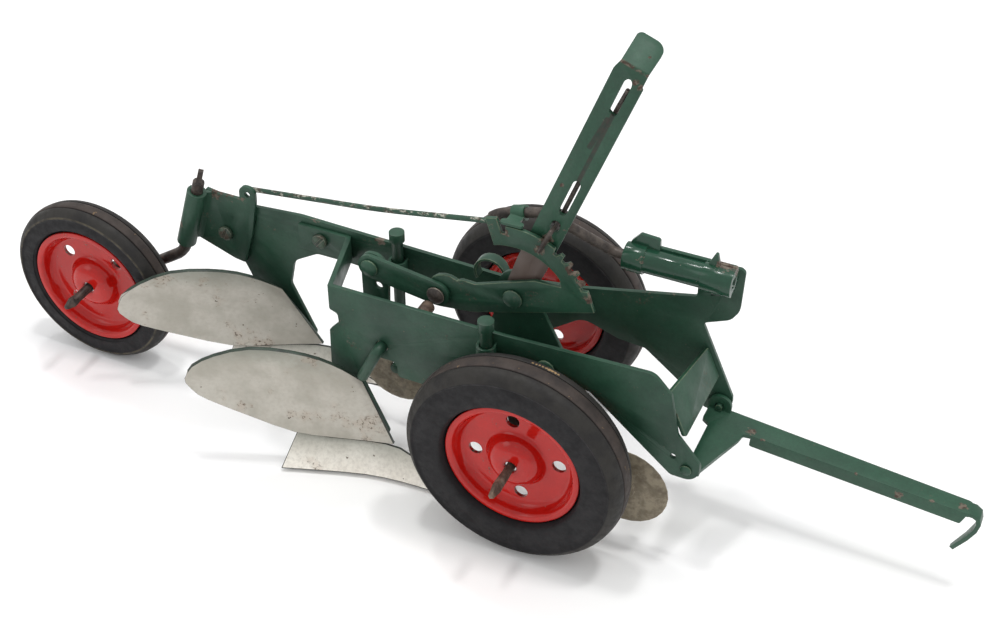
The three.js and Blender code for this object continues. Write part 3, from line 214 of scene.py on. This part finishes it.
def enamel(name, dark, light, edge_tone, shade, wear=(), worn_lines=(), streaks=(), below=None, flaking=0.0,
           beneath=DULL_METAL, gloss=0.34, spread=0.2):
    """Sprayed enamel over sheet steel: cloudy tone, orange peel, dust, chips at the edges and rust spots.

    wear holds spots, worn_lines holds rubbed lines across the piece as (point, direction, width), and streaks holds
    dark lines of painted shade as (start, end, width), for a crease and a wire's shadow. below is a (point,
    direction), and the piece is unpainted up to that point.
    """
    p = Paint(name)
    cloud = p.ramp(p.noise(17, 3, 0.6), 0.32, 0.68)
    tone = p.mix(cloud, dark, light)
    tone = p.mix(p.ramp(p.noise(0.9, 3, 0.6), 0.25, 0.8, 0.0, 0.28), tone, shade)
    edge = p.attribute("edge")
    ragged = p.noise(2.4, 4, 0.7)
    rubbed = p.math("MULTIPLY", edge, p.ramp(ragged, 0.36, 0.6, 0.35, 1.0))
    tone = p.mix(p.math("MULTIPLY", rubbed, 0.55), tone, edge_tone)
    chip = p.math("MULTIPLY", edge, p.ramp(p.noise(1.3, 4, 0.75), 0.56, 0.62))
    speck = p.ramp(p.noise(0.75, 2, 0.5), 0.735, 0.765)
    scuff = p.math("MULTIPLY", p.ramp(p.noise(9, 3, 0.6), 0.6, 0.68), p.ramp(p.noise(0.8, 3, 0.7), 0.55, 0.6))
    bare = p.most(p.math("MULTIPLY", scuff, 0.7), speck, chip)
    if flaking:
        flake = p.ramp(p.noise(1.6, 4, 0.7, (0.3, 1, 1)), 0.5, 0.57)
        bare = p.most(bare, p.math("MULTIPLY", flake, flaking))
    if wear:
        bare = p.most(bare, p.spots(wear))
    for point, direction, width in worn_lines:
        off = p.math("ABSOLUTE", p.along(direction, point))
        line = p.ramp(off, 0.4 * width * MM, width * MM, 1.0, 0.0)
        bare = p.most(bare, p.math("MULTIPLY", line, p.ramp(ragged, 0.36, 0.5)))
    tone = p.mix(bare, tone, p.mix(p.ramp(p.noise(1.7, 3, 0.6), 0.42, 0.58), beneath, RUST))
    # painted shade: dark lines for the lever's crease and the pawl wire's shadow beside it
    for start, end, width in streaks:
        line = p.ramp(p.off_line(start, end), 0.5 * width * MM, width * MM, 0.9, 0.0)
        line = p.math("MULTIPLY", line, p.ramp(ragged, 0.2, 0.6, 0.55, 0.9))
        tone = p.mix(line, tone, p.mix(p.ramp(ragged, 0.3, 0.7), *CREASE_SHADE_TONES))
    if below:
        point, direction = below
        unpainted = p.ramp(p.along(direction, point), -0.5 * MM, 0.5 * MM, 1.0, 0.0)
        tone = p.mix(unpainted, tone, p.mix(cloud, *UNPAINTED))
    rough = p.math("ADD", p.ramp(p.noise(6, 4, 0.6), 0.3, 0.7, gloss, gloss + spread), p.math("MULTIPLY", bare, 0.25))
    relief = p.math("SUBTRACT", p.math("MULTIPLY", p.noise(1.6, 2, 0.5), 0.4), p.math("MULTIPLY", bare, 0.7))
    return p.finish(tone, rough, 0.0, relief, 0.045, 0.4)


def bare_steel(name, tone, dark, rust=0.5, gloss=0.4, metal=0.35):
    """Drawn wire and turned steel, dulled, with fine streaks and brown staining."""
    p = Paint(name)
    base = p.mix(p.ramp(p.noise(3.2, 4, 0.65), 0.35, 0.65), dark, tone)
    stain = p.math("MULTIPLY", p.ramp(p.noise(5, 4, 0.7), 0.5, 0.62), rust)
    base = p.mix(stain, base, RUST)
    pits = p.ramp(p.noise(0.6, 3, 0.6), 0.66, 0.72)
    base = p.mix(p.math("MULTIPLY", pits, 0.7), base, colour(52, 42, 36))
    base = p.mix(p.math("MULTIPLY", p.attribute("edge"), 0.35), base, colour(176, 166, 150))
    rough = p.ramp(p.noise(1.4, 4, 0.6), 0.3, 0.7, gloss, gloss + 0.22)
    rough = p.math("ADD", rough, p.math("MULTIPLY", stain, 0.3))
    return p.finish(base, rough, metal, p.math("SUBTRACT", p.noise(0.7, 3, 0.6), pits), 0.04)


def silver_sheet(name, front, dark_front):
    """Aluminium-coloured paint on the working face, green enamel on the back, dark edges and rust spots; towards the
    top, painted shade with a painted green reflection.
    """
    p = Paint(name)
    base = p.mix(p.ramp(p.noise(14, 3, 0.6), 0.35, 0.65), dark_front, front)
    base = p.mix(p.ramp(p.noise(1.1, 3, 0.6), 0.35, 0.75, 0.0, 0.3), base, colour(160, 152, 140))
    # painted shade and a painted reflection of the green frame: the paint turns green-grey towards the top
    base = p.mix(p.math("MULTIPLY", p.attribute("top"), 0.6), base, colour(98, 108, 95))
    patch = p.ramp(p.noise(13, 3, 0.7), 0.57, 0.69)
    speck = p.math("MULTIPLY", patch, p.ramp(p.noise(1.0, 4, 0.75), 0.54, 0.6))
    lone = p.ramp(p.noise(1.9, 2, 0.5), 0.735, 0.76)
    rust = p.math("MAXIMUM", speck, lone)
    base = p.mix(p.math("MULTIPLY", patch, 0.25), base, colour(172, 146, 124))
    rust_tone = p.mix(p.noise(0.8), colour(48, 38, 30), colour(104, 82, 62))
    base = p.mix(p.math("MULTIPLY", rust, 0.85), base, rust_tone)
    hidden = p.math("MAXIMUM", p.attribute("back"), p.attribute("edge"))
    green = p.mix(p.ramp(p.noise(4, 3, 0.6), 0.35, 0.65), colour(28, 40, 32), colour(44, 60, 48))
    base = p.mix(hidden, base, p.mix(p.attribute("edge"), green, colour(20, 27, 22)))
    rough = p.ramp(p.noise(3, 4, 0.6), 0.3, 0.7, 0.42, 0.6)
    metal = p.math("MULTIPLY", p.math("SUBTRACT", 1.0, hidden), 0.25)
    relief = p.math("SUBTRACT", p.math("MULTIPLY", p.noise(1.2, 3, 0.6), 0.5), rust)
    return p.finish(base, rough, metal, relief, 0.05)


def tyre_rubber(name):
    """Moulded black rubber, dusty on its walls, with brown dirt and pale scuffs on its tread."""
    p = Paint(name)
    base = p.mix(p.ramp(p.noise(9, 4, 0.6), 0.3, 0.7), colour(20, 19, 21), colour(29, 28, 30))
    base = p.mix(p.ramp(p.noise(1.4, 4, 0.7), 0.35, 0.8, 0.0, 0.3), base, colour(42, 41, 43))
    shoulder = p.math("MULTIPLY", p.attribute("shoulder"), p.ramp(p.noise(8, 4, 0.6), 0.3, 0.6, 0.3, 0.8))
    base = p.mix(shoulder, base, colour(48, 46, 43))
    tread = p.math("MULTIPLY", p.attribute("tread"), p.ramp(p.noise(7, 4, 0.6), 0.3, 0.65, 0.4, 0.95))
    base = p.mix(tread, base, colour(66, 58, 54))
    ridge = p.math("MULTIPLY", p.attribute("ridge"), p.ramp(p.noise(3.2, 4, 0.7), 0.4, 0.6, 0.2, 0.8))
    base = p.mix(ridge, base, colour(86, 80, 66))
    scuff = p.math("MULTIPLY", p.attribute("tread"), p.ramp(p.noise(2.6, 4, 0.75), 0.645, 0.69))
    flecks = [(place(3 + 0.9 * k, 7.6, 65.1 - 0.21 * k), 0.5) for k in range(9)]  # one scrape on the right wheel
    base = p.mix(p.most(p.math("MULTIPLY", scuff, 0.5), p.spots(flecks)), base, colour(150, 124, 90))
    crack = p.ramp(p.noise(2.2, 5, 0.8, (1, 6, 1)), 0.7, 0.74)
    base = p.mix(p.math("MULTIPLY", crack, 0.6), base, colour(24, 22, 22))
    rough = p.ramp(p.noise(2.6, 4, 0.6), 0.3, 0.7, 0.52, 0.74)
    relief = p.math("SUBTRACT", p.noise(0.8, 4, 0.65), crack)
    return p.finish(base, rough, 0.0, relief, 0.06, 0.25)


def spots_at(where, *spots):
    """Spots given as forwards, left, up and radius in millimetres, through place or on_lever."""
    return [(where(x, y, up), radius) for x, y, up, radius in spots]


GREEN_RIM = colour(108, 124, 96), colour(20, 38, 29)  # the edges' tone and the grain's
OLD_GREEN = (colour(29, 61, 46), colour(40, 76, 58)) + GREEN_RIM
FRESH_GREEN = (colour(31, 68, 50), colour(40, 80, 60)) + GREEN_RIM
SLEEVE_GREEN = (colour(26, 61, 45), colour(34, 73, 55)) + GREEN_RIM
RED = colour(172, 20, 15), colour(190, 28, 21), colour(70, 24, 20), colour(150, 20, 16)

green = enamel(
    "green_enamel", *OLD_GREEN,
    wear=spots_at(
        place,
        (-115, 41, 65.4, 2.6), (-110.5, 41, 65.8, 2.2), (-106, 41, 66, 2.0), (-126, 34, 55, 1.4),  # rear bracket
        (5.5, 26.4, 83.2, 2.2), (8.8, 26.4, 80, 2.0), (10.9, 26.4, 74.9, 1.8),  # the quadrant's teeth
        (-2.4, 26.4, 90.6, 1.8), (-3.7, 26.4, 86.9, 1.6), (-13.9, 26.4, 89.7, 1.3),  # the quadrant's top
        (-82, 40.4, 66.4, 2.0), (-60, 40.4, 64, 1.8),  # the left beam's top
    ),
)
green_drawbar = enamel(
    "green_enamel_drawbar", *FRESH_GREEN,
    wear=spots_at(
        place,
        (55.4, 40.6, 33.6, 1.5), (115, 39.6, 29.8, 1.3), (98, 37.6, 28.4, 1.3),
        (86, 37.9, 31.6, 0.9), (107, 37.4, 30.2, 0.9), (59, 38.4, 33.2, 1.0),
    ),
)
green_lever = enamel(
    "green_enamel_lever", *FRESH_GREEN,
    wear=spots_at(
        on_lever,
        (2.2, LEVER_FACE, 79.6, 0.9), (-2.4, LEVER_FACE, 41, 0.7), (3.8, LEVER_FACE, 79, 1.0),
        (0.6, LEVER_FACE, 23, 1.6), (2, 4, 84.5, 0.8),
    ) + spots_at(place, (-11.6, 31, 88.8, 2.2), (-14.5, 32, 88.6, 1.6)),  # the rod clip's
    worn_lines=[(on_lever(0, 0, LEVER_LENGTH), LEVER_WAY, 0.6)],
    # painted shade of the blade's crease and of the pawl wire's shadow, between the two slots
    streaks=[
        (on_lever(0.9, LEVER_FACE, 45), on_lever(0.9, LEVER_FACE, 68), 0.75),
        (on_lever(-0.6, LEVER_FACE, 56), on_lever(0.2, LEVER_FACE, 66), 0.9),
    ],
    below=(on_lever(0, 0, 19), LEVER_WAY),
)
green_sleeve = enamel(
    "green_enamel_sleeve", *SLEEVE_GREEN, gloss=0.1, spread=0.12,
    wear=spots_at(place, (42, 43, 85, 2.6), (46, 43.5, 84, 2.4), (20, 39, 82.6, 1.2)),
)
green_rod = enamel("green_enamel_rod", *OLD_GREEN, flaking=0.8, beneath=PALE_METAL)
red = enamel("red_enamel", *RED, gloss=0.06, spread=0.06)
wire_steel = bare_steel("wire_steel", colour(122, 104, 90), colour(76, 62, 54))
dark_steel = bare_steel("dark_steel", colour(84, 76, 70), colour(50, 45, 42), rust=0.3)
disc_steel = bare_steel("disc_steel", colour(142, 132, 112), colour(110, 100, 82), rust=0.25, gloss=0.5, metal=0.1)
screw_steel = bare_steel("screw_steel", colour(66, 84, 68), colour(40, 54, 44), rust=0.8, metal=0.1)
mould_paint = silver_sheet("mouldboard_paint", colour(191, 187, 177), colour(170, 166, 155))
# painted light: the share's silver is made paler than the mouldboard's because its upward-facing surface is lit more
share_paint_with_painted_light = silver_sheet("share_paint_with_painted_light", colour(248, 243, 233), colour(236, 230, 219))
rubber = tyre_rubber("tyre_rubber")


# ------------------------------------------------------------------ pieces
WELD = 2e-6  # metres
FLAT_ANGLE = math.radians(1)
SHARP_ANGLE = math.radians(42)
BLUNT_CORNER = 13, 76  # degrees between the faces at an outline's corner that is rounded


def stand_for(node, mesh, material, smooth=32):
    """Makes the piece that stands for a CAD node, riding on that node's body; smooth is in degrees."""
    mesh.materials.append(material)
    mesh.shade_smooth()
    mesh.set_sharp_from_angle(angle=math.radians(smooth))
    piece = bpy.data.objects.new(node + "_piece", mesh)
    bpy.context.scene.collection.objects.link(piece)
    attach(piece, frame["nodes"][node]["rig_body"])
    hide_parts(node)


def eased(shape):
    """Rounds the blunt corners of an outline cut from a plate that stands along the plough."""
    corners = []
    for edge in shape.edges:
        run = edge.verts[0].co - edge.verts[1].co
        through = abs(run.y) > 0.97 * run.length
        if len(edge.link_faces) == 2 and through:
            if BLUNT_CORNER[0] < math.degrees(edge.calc_face_angle(0)) < BLUNT_CORNER[1]:
                corners.append(edge)
    for edge in corners:
        if edge.is_valid and len(edge.link_faces) == 2:
            narrowest = min(face.calc_area() for face in edge.link_faces) / edge.calc_length()
            bmesh.ops.bevel(
                shape, geom=[edge], offset=0.42 * narrowest, segments=4, profile=0.5, affect="EDGES",
                clamp_overlap=True,
            )


def swollen(shape, growth=0.35):
    """The adjuster rod looks heavier than its solid: its surface is pushed out a little, in millimetres."""
    shape.normal_update()
    for vert in shape.verts:
        vert.co += vert.normal * growth * MM


LEVER_SLOTS = (  # each slot's lower and upper end, its middle, its new middle, and the share of its width that stays
    (32, 45, 1.15, 0.95, 0.6),
    (67.5, 79.6, 0.35, 0.6, 0.5),
)
SLOT_REACH = 3.3  # millimetres from the blade's middle, inside its outer edges


def narrow_slots(shape):
    """Draws in the lever's two long slots."""
    c, s = math.cos(LEVER_LEAN), math.sin(LEVER_LEAN)
    pivot = place(*LEVER_PIVOT)
    for low, high, middle, new_middle, share in LEVER_SLOTS:
        for vert in shape.verts:
            away = (vert.co - pivot) / MM
            across, up = away.x * c - away.z * s, away.x * s + away.z * c
            if low < up < high and abs(across) < SLOT_REACH:
                shift = new_middle + (across - middle) * share - across
                vert.co += Vector((shift * c, 0, -shift * s)) * MM


AXLE_ENDS = (  # where each axle meets its wheel's outer face, and the way it sticks out
    (place(0, 0, 32.7), FACES_RIGHT),
    (place(-20.2, 68.1, 32.7), FACES_LEFT),
    (place(-157.3, 23.2, 28.1), FACES_RIGHT),
)
END_STARTS, END_WIDEST = 3.2, 6  # millimetres past the face, and from the axle's middle
END_TURN = Matrix.Rotation(math.radians(68), 3, "Y")


def turned_ends(shape):
    """Turns the flattened axle ends so that their thin side shows, and narrows them towards the tip."""
    for vert in shape.verts:
        for centre, side in AXLE_ENDS:
            away = vert.co - centre
            past = side * away.y / MM - END_STARTS
            if abs(away.x) < END_WIDEST * MM and abs(away.z) < END_WIDEST * MM and past > 0:
                around = END_TURN @ Vector((away.x, 0, away.z))
                narrow = max(0.6, 1 - past * 0.06)
                vert.co = centre + Vector((around.x * narrow, away.y, around.z * narrow))


def flattened(shape):
    """A rivet beaten nearly flush: it is drawn in towards its middle."""
    middle = sum((v.co for v in shape.verts), Vector()) / len(shape.verts)
    for vert in shape.verts:
        vert.co = middle + (vert.co - middle) * Vector((0.75, 0.92, 0.75))


def skinned(node, material, bevel=0.22, flat=True, before=None, marks=None):
    """The CAD node's form with its sharp edges rolled over; the rolled faces are marked as edge.

    flat joins the triangles of plane faces first, before changes the form, and marks adds other attributes.
    """
    shape = bmesh.new()
    shape.from_mesh(frame["nodes"][node].data)
    bmesh.ops.remove_doubles(shape, verts=shape.verts, dist=WELD)
    if flat:
        bmesh.ops.dissolve_limit(shape, angle_limit=FLAT_ANGLE, verts=shape.verts, edges=shape.edges)
    if before:
        before(shape)
    edge = shape.faces.layers.float.new("edge")
    sharp = [e for e in shape.edges if len(e.link_faces) == 2 and e.calc_face_angle(0) > SHARP_ANGLE]
    rolled = bmesh.ops.bevel(
        shape, geom=sharp, offset=bevel * MM, segments=2, profile=0.5, affect="EDGES", clamp_overlap=True,
    )
    for face in rolled["faces"]:
        face[edge] = 1.0
    if marks:
        marks(shape)
    mesh = bpy.data.meshes.new(node + "_mesh")
    shape.to_mesh(mesh)
    shape.free()
    stand_for(node, mesh, material)


MOULDBOARD_TOP = 30  # millimetres: no share reaches this high
PAINTED_SHADE_BAND = 7  # millimetres down from the highest point, where painted shade with a painted green reflection darkens the paint


def working_face(shape):
    """Marks the back and rim of a mouldboard or share, and how near the highest point a corner is, for the painted
    shade at the top.
    """
    back = shape.faces.layers.float.new("back")
    top = shape.verts.layers.float.new("top")
    shape.normal_update()
    high = max(v.co.z for v in shape.verts)
    facing = -0.55 if high > MOULDBOARD_TOP * MM else -0.3  # mouldboards stand up, shares lie back
    for face in shape.faces:
        face[back] = 1.0 if face.normal.y > facing else 0.0
    for vert in shape.verts:
        vert[top] = max(0.0, 1 - (high - vert.co.z) / (PAINTED_SHADE_BAND * MM))


def softened(ring, rounds, cut=0.2):
    """A closed profile with its corners cut back, by a share of each side and more than once."""
    for _ in range(rounds):
        ring = [
            (a[0] + (b[0] - a[0]) * t, a[1] + (b[1] - a[1]) * t)
            for a, b in zip(ring, ring[1:] + ring[:1]) for t in (cut, 1 - cut)
        ]
    return ring


WHEEL_STEPS = 112


def turned(ring, centre, side):
    """A ring profile (radius, depth in mm) turned about Y; depth runs from the wheel's outer side inwards."""
    shape = bmesh.new()
    rows = []
    for k in range(WHEEL_STEPS):
        angle = 2 * math.pi * k / WHEEL_STEPS
        rows.append([
            shape.verts.new(centre + Vector((r * math.cos(angle), -side * y, r * math.sin(angle))) * MM)
            for r, y in ring
        ])
    for row, following in zip(rows, rows[1:] + rows[:1]):
        for i in range(len(ring)):
            j = (i + 1) % len(ring)
            shape.faces.new((row[i], row[j], following[j], following[i]))
    bmesh.ops.recalc_face_normals(shape, faces=shape.faces)
    return shape


def as_object(name, shape):
    """An object with the form as its mesh, linked to the scene."""
    mesh = bpy.data.meshes.new(name)
    shape.to_mesh(mesh)
    shape.free()
    made = bpy.data.objects.new(name, mesh)
    bpy.context.scene.collection.objects.link(made)
    return made


def holed(shape, name, centres, radius, depth):
    """The mesh of the form with round holes bored through it along Y, in millimetres."""
    body = as_object(name, shape)
    cutters = bmesh.new()
    for centre in centres:
        turn = Matrix.Translation(centre) @ Matrix.Rotation(math.pi / 2, 4, "X")
        bmesh.ops.create_cone(
            cutters, cap_ends=True, segments=28, radius1=radius * MM, radius2=radius * MM, depth=depth * MM,
            matrix=turn,
        )
    tool = as_object(name + "_tool", cutters)
    cut = body.modifiers.new("holes", "BOOLEAN")
    cut.operation = "DIFFERENCE"
    cut.solver = "EXACT"
    cut.object = tool
    made = bpy.data.meshes.new_from_object(body.evaluated_get(bpy.context.evaluated_depsgraph_get()))
    bpy.data.objects.remove(body)
    bpy.data.objects.remove(tool)
    return made


WHEELS = {  # outer radius, hub width, how far the tyre stands past the hub, first hole in degrees, side it faces
    "right_wheel": (32.7, 8.5, 2.3, 6, FACES_RIGHT),
    "left_wheel": (32.7, 8.5, 2.3, 72, FACES_LEFT),
    "rear_wheel": (28.1, 9.0, 0.6, 45, FACES_RIGHT),
}
HUB_RADIUS = 20.0
BORE_RADIUS = 1.72
HOLE_COUNT, HOLE_CIRCLE, HOLE_RADIUS, HOLE_DEPTH = 4, 12.6, 2.0, 24


def hub_profile(width):
    """A section of the pressed hub, as radius and depth from its outer face."""
    rim = HUB_RADIUS
    return [
        (BORE_RADIUS, -0.6), (4.2, -0.6), (5.4, -0.35), (6.5, 0.25),  # the raised middle
        (7.4, 1.15), (8.0, 2.2), (8.4, 3.2), (9.0, 3.9), (9.8, 4.1),  # down to the flat ring with the holes
        (15.0, 4.1), (15.9, 3.95), (16.7, 3.3), (17.3, 2.2), (17.7, 1.0),  # up to the rim
        (rim - 1.8, 0.2), (rim - 1.3, 0.0), (rim - 0.1, 0.0), (rim, 0.3), (rim, 1.0), (rim - 1.1, 1.3),
        (rim - 1.1, width - 1.3), (rim, width - 1.0), (rim, width), (rim - 2.1, width), (rim - 2.1, 4.9),
        (15.4, 5.1), (8.8, 5.1), (7.6, 4.2), (6.4, 2.2), (5.4, 1.2), (BORE_RADIUS, 1.2),  # the inner side
    ]


def make_hub(wheel, width, first_hole, side):
    low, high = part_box(wheel + "_hub")
    centre = (low + high) / 2
    face = Vector((centre.x, low.y if side == FACES_RIGHT else high.y, centre.z))
    shape = turned(softened(hub_profile(width), 2), face, side)
    holes = []
    for k in range(HOLE_COUNT):
        angle = math.radians(first_hole) + k * 2 * math.pi / HOLE_COUNT
        turn = angle if side == FACES_RIGHT else math.pi - angle
        holes.append(face + Vector((math.cos(turn), 0, math.sin(turn))) * HOLE_CIRCLE * MM)
    mesh = holed(shape, wheel + "_hub_mesh", holes, HOLE_RADIUS, HOLE_DEPTH)
    edge = mesh.attributes.new("edge", "FLOAT", "POINT")
    for i, vert in enumerate(mesh.vertices):
        away = min((vert.co.xz - hole.xz).length for hole in holes) / MM
        edge.data[i].value = 1.0 if away < HOLE_RADIUS + 0.03 else 0.0
    stand_for(wheel + "_hub", mesh, red, 40)


def tyre_profile(half, seat, groove, edge, radius):
    """A section of the tyre, as radius and depth from its middle: half its width, its seat's, its groove's."""
    inner = HUB_RADIUS + 0.45
    side = [
        (radius, 0), (radius - 0.04, 0.5 * groove), (radius - 0.2, groove - 0.22),  # the tread's middle
        (radius - 0.75, groove - 0.1), (radius - 0.75, groove + 0.1), (radius - 0.3, groove + 0.24),  # the groove
    ]
    for t in (0.2, 0.4, 0.6, 0.8, 0.92):  # the rounded shoulder
        side.append((radius - 0.4 - (radius - 0.4 - edge) * t ** 2, groove + (half - 0.15 - groove) * t ** 0.8))
    side += [
        (edge - 0.1, half), (edge - 0.5, half - 0.02), (edge - 0.9, half - 0.3), (edge - 1.4, half - 0.34),
        (edge - 3.0, half - 0.1), (edge - 5.0, half - 0.12),  # the wall, below its ridge
        (inner + 1.9, 0.97 * half), (inner + 0.7, 0.92 * half), (inner, min(0.8 * half, seat - 0.1)),
        (inner, seat - 1.35), (HUB_RADIUS - 0.8, seat - 1.6),  # into the hub's channel
    ]
    return side + [(r, -y) for r, y in reversed(side[1:])]


def make_tyre(wheel, radius, width, bulge, side):
    low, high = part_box(wheel + "_tyre")
    centre = (low + high) / 2
    seat = width / 2
    half = seat + bulge
    groove = 0.35 * half
    edge = radius - 0.44 * half  # the radius where the shoulder meets the wall
    shape = turned(softened(tyre_profile(half, seat, groove, edge, radius), 1), centre, side)
    tread, shoulder, ridge = (shape.verts.layers.float.new(name) for name in ("tread", "shoulder", "ridge"))
    for vert in shape.verts:
        out = (vert.co.xz - centre.xz).length / MM
        off = abs(vert.co.y - centre.y) / MM
        vert[tread] = 1.0 if off < groove - 0.15 and out > edge else 0.0
        vert[shoulder] = 1.0 if off > groove + 0.15 and out > edge - 0.3 else 0.0
        vert[ridge] = 1.0 if wheel == "rear_wheel" and abs(out - edge + 0.2) < 0.3 else 0.0
    mesh = bpy.data.meshes.new(wheel + "_tyre_mesh")
    shape.to_mesh(mesh)
    shape.free()
    stand_for(wheel + "_tyre", mesh, rubber, 50)


for wheel, (radius, width, bulge, first_hole, side) in WHEELS.items():
    make_hub(wheel, width, first_hole, side)
    make_tyre(wheel, radius, width, bulge, side)

SHEETS = {
    "right_side_plate": green, "left_beam": green, "front_cross_plate": green_drawbar, "rear_bracket": green,
    "quadrant": green, "quadrant_stand": green, "link_strap": green, "link_post": green,
    "drawbar": green_drawbar, "lift_lever": green_lever, "front_sleeve": green_sleeve, "rod_clip": green_lever,
    "beam_clip": green,
}
SHEET_SHAPING = {
    "right_side_plate": eased, "left_beam": eased, "rear_bracket": eased, "link_strap": eased,
    "lift_lever": narrow_slots,
}
for node, material in SHEETS.items():
    skinned(node, material, before=SHEET_SHAPING.get(node))

ROUND_GREEN = (
    "right_plate_rivet", "lever_rivet", "link_rear_rivet", "right_hitch_rivet", "left_hitch_rivet", "right_brace",
    "right_coulter_stem", "left_coulter_stem", "stay_rod",
)
for node in ROUND_GREEN:
    material = green_rod if node == "stay_rod" else green
    shaping = flattened if node == "right_hitch_rivet" else None
    skinned(node, material, bevel=0.15, flat=False, before=shaping)

STEEL = {
    "front_axle": wire_steel, "rear_crank": dark_steel, "adjuster_rod": dark_steel, "lever_pawl": dark_steel,
    "link_front_pin": dark_steel, "quadrant_spacer": wire_steel, "bracket_screw": screw_steel,
    "strip_screw": screw_steel,
}
STEEL_SHAPING = {"adjuster_rod": swollen, "front_axle": turned_ends, "rear_crank": turned_ends}
for node, material in STEEL.items():
    skinned(node, material, bevel=0.12, flat=False, before=STEEL_SHAPING.get(node))

for side in ("right", "left"):
    skinned(side + "_disc", disc_steel, bevel=0.08, flat=False)
    skinned(side + "_mouldboard", mould_paint, bevel=0.3, flat=False, marks=working_face)
    skinned(side + "_share", share_paint_with_painted_light, bevel=0.3, flat=False, marks=working_face)


# ------------------------------------------------------------------ floor, light and camera
def make_floor():
    """A square of pale paper, 8 m across, with faint clouds."""
    shape = bmesh.new()
    bmesh.ops.create_grid(shape, x_segments=8, y_segments=8, size=4.0)
    floor = as_object("floor", shape)
    p = Paint("floor_paper")
    tone = p.mix(p.ramp(p.noise(90, 3, 0.6), 0.3, 0.7), colour(247, 247, 248), colour(251, 251, 250))
    floor.data.materials.append(p.finish(tone, 0.9, specular=0.1))


LIGHT_AIM = Vector((0, 0, 0.03))
LIGHTS = {  # a lamp's place and size in metres, and its power in watts
    "overhead": ((0.12, 0.25, 0.95), 0.7, 0.4),
    "front_left": ((-0.7, -0.6, 0.75), 0.5, 0.8),
    "lamp_a": ((-0.08, -0.02, 0.95), 0.085, 1.7),
    "lamp_b": ((0.27, 0.06, 0.9), 0.085, 1.7),
    "lamp_c": ((-0.35, 0.25, 0.85), 0.08, 0.9),
}
WORLD_STRENGTH = 0.82


def make_light(name, at, size, power):
    """A square lamp that points at the object."""
    data = bpy.data.lights.new(name, "AREA")
    data.shape = "SQUARE"
    data.size = size
    data.energy = power
    light = bpy.data.objects.new(name, data)
    light.location = at
    light.rotation_euler = (LIGHT_AIM - Vector(at)).to_track_quat("-Z", "Y").to_euler()
    bpy.context.scene.collection.objects.link(light)


def make_world(strength):
    """White studio walls for the camera, and light of the given strength for everything else."""
    world = bpy.data.worlds.new("studio")
    bpy.context.scene.world = world
    world.use_nodes = True
    tree = world.node_tree
    tree.nodes.clear()
    output = tree.nodes.new("ShaderNodeOutputWorld")
    seen = tree.nodes.new("ShaderNodeBackground")
    lit = tree.nodes.new("ShaderNodeBackground")
    seen.inputs[0].default_value = lit.inputs[0].default_value = (1, 1, 1, 1)
    seen.inputs[1].default_value = 1.0
    lit.inputs[1].default_value = strength
    path = tree.nodes.new("ShaderNodeLightPath")
    blend = tree.nodes.new("ShaderNodeMixShader")
    tree.links.new(path.outputs["Is Camera Ray"], blend.inputs[0])
    tree.links.new(lit.outputs[0], blend.inputs[1])
    tree.links.new(seen.outputs[0], blend.inputs[2])
    tree.links.new(blend.outputs[0], output.inputs[0])


def make_camera():
    """The photograph's view: its place and direction were fitted to the wheels and the frame."""
    data = bpy.data.cameras.new("camera")
    data.sensor_width = 36.0
    data.lens = 56.77
    data.clip_start = 0.02
    data.clip_end = 20.0
    camera = bpy.data.objects.new("camera", data)
    camera.location = place(127.5, -284.3, 331.0)
    camera.rotation_euler = Vector((-0.32893, 0.71548, -0.61635)).to_track_quat("-Z", "Y").to_euler()
    bpy.context.scene.collection.objects.link(camera)
    bpy.context.scene.camera = camera


make_floor()
make_world(WORLD_STRENGTH)
for name, (at, size, power) in LIGHTS.items():
    make_light(name, at, size, power)
make_camera()
bpy.context.scene.view_settings.view_transform = "Standard"
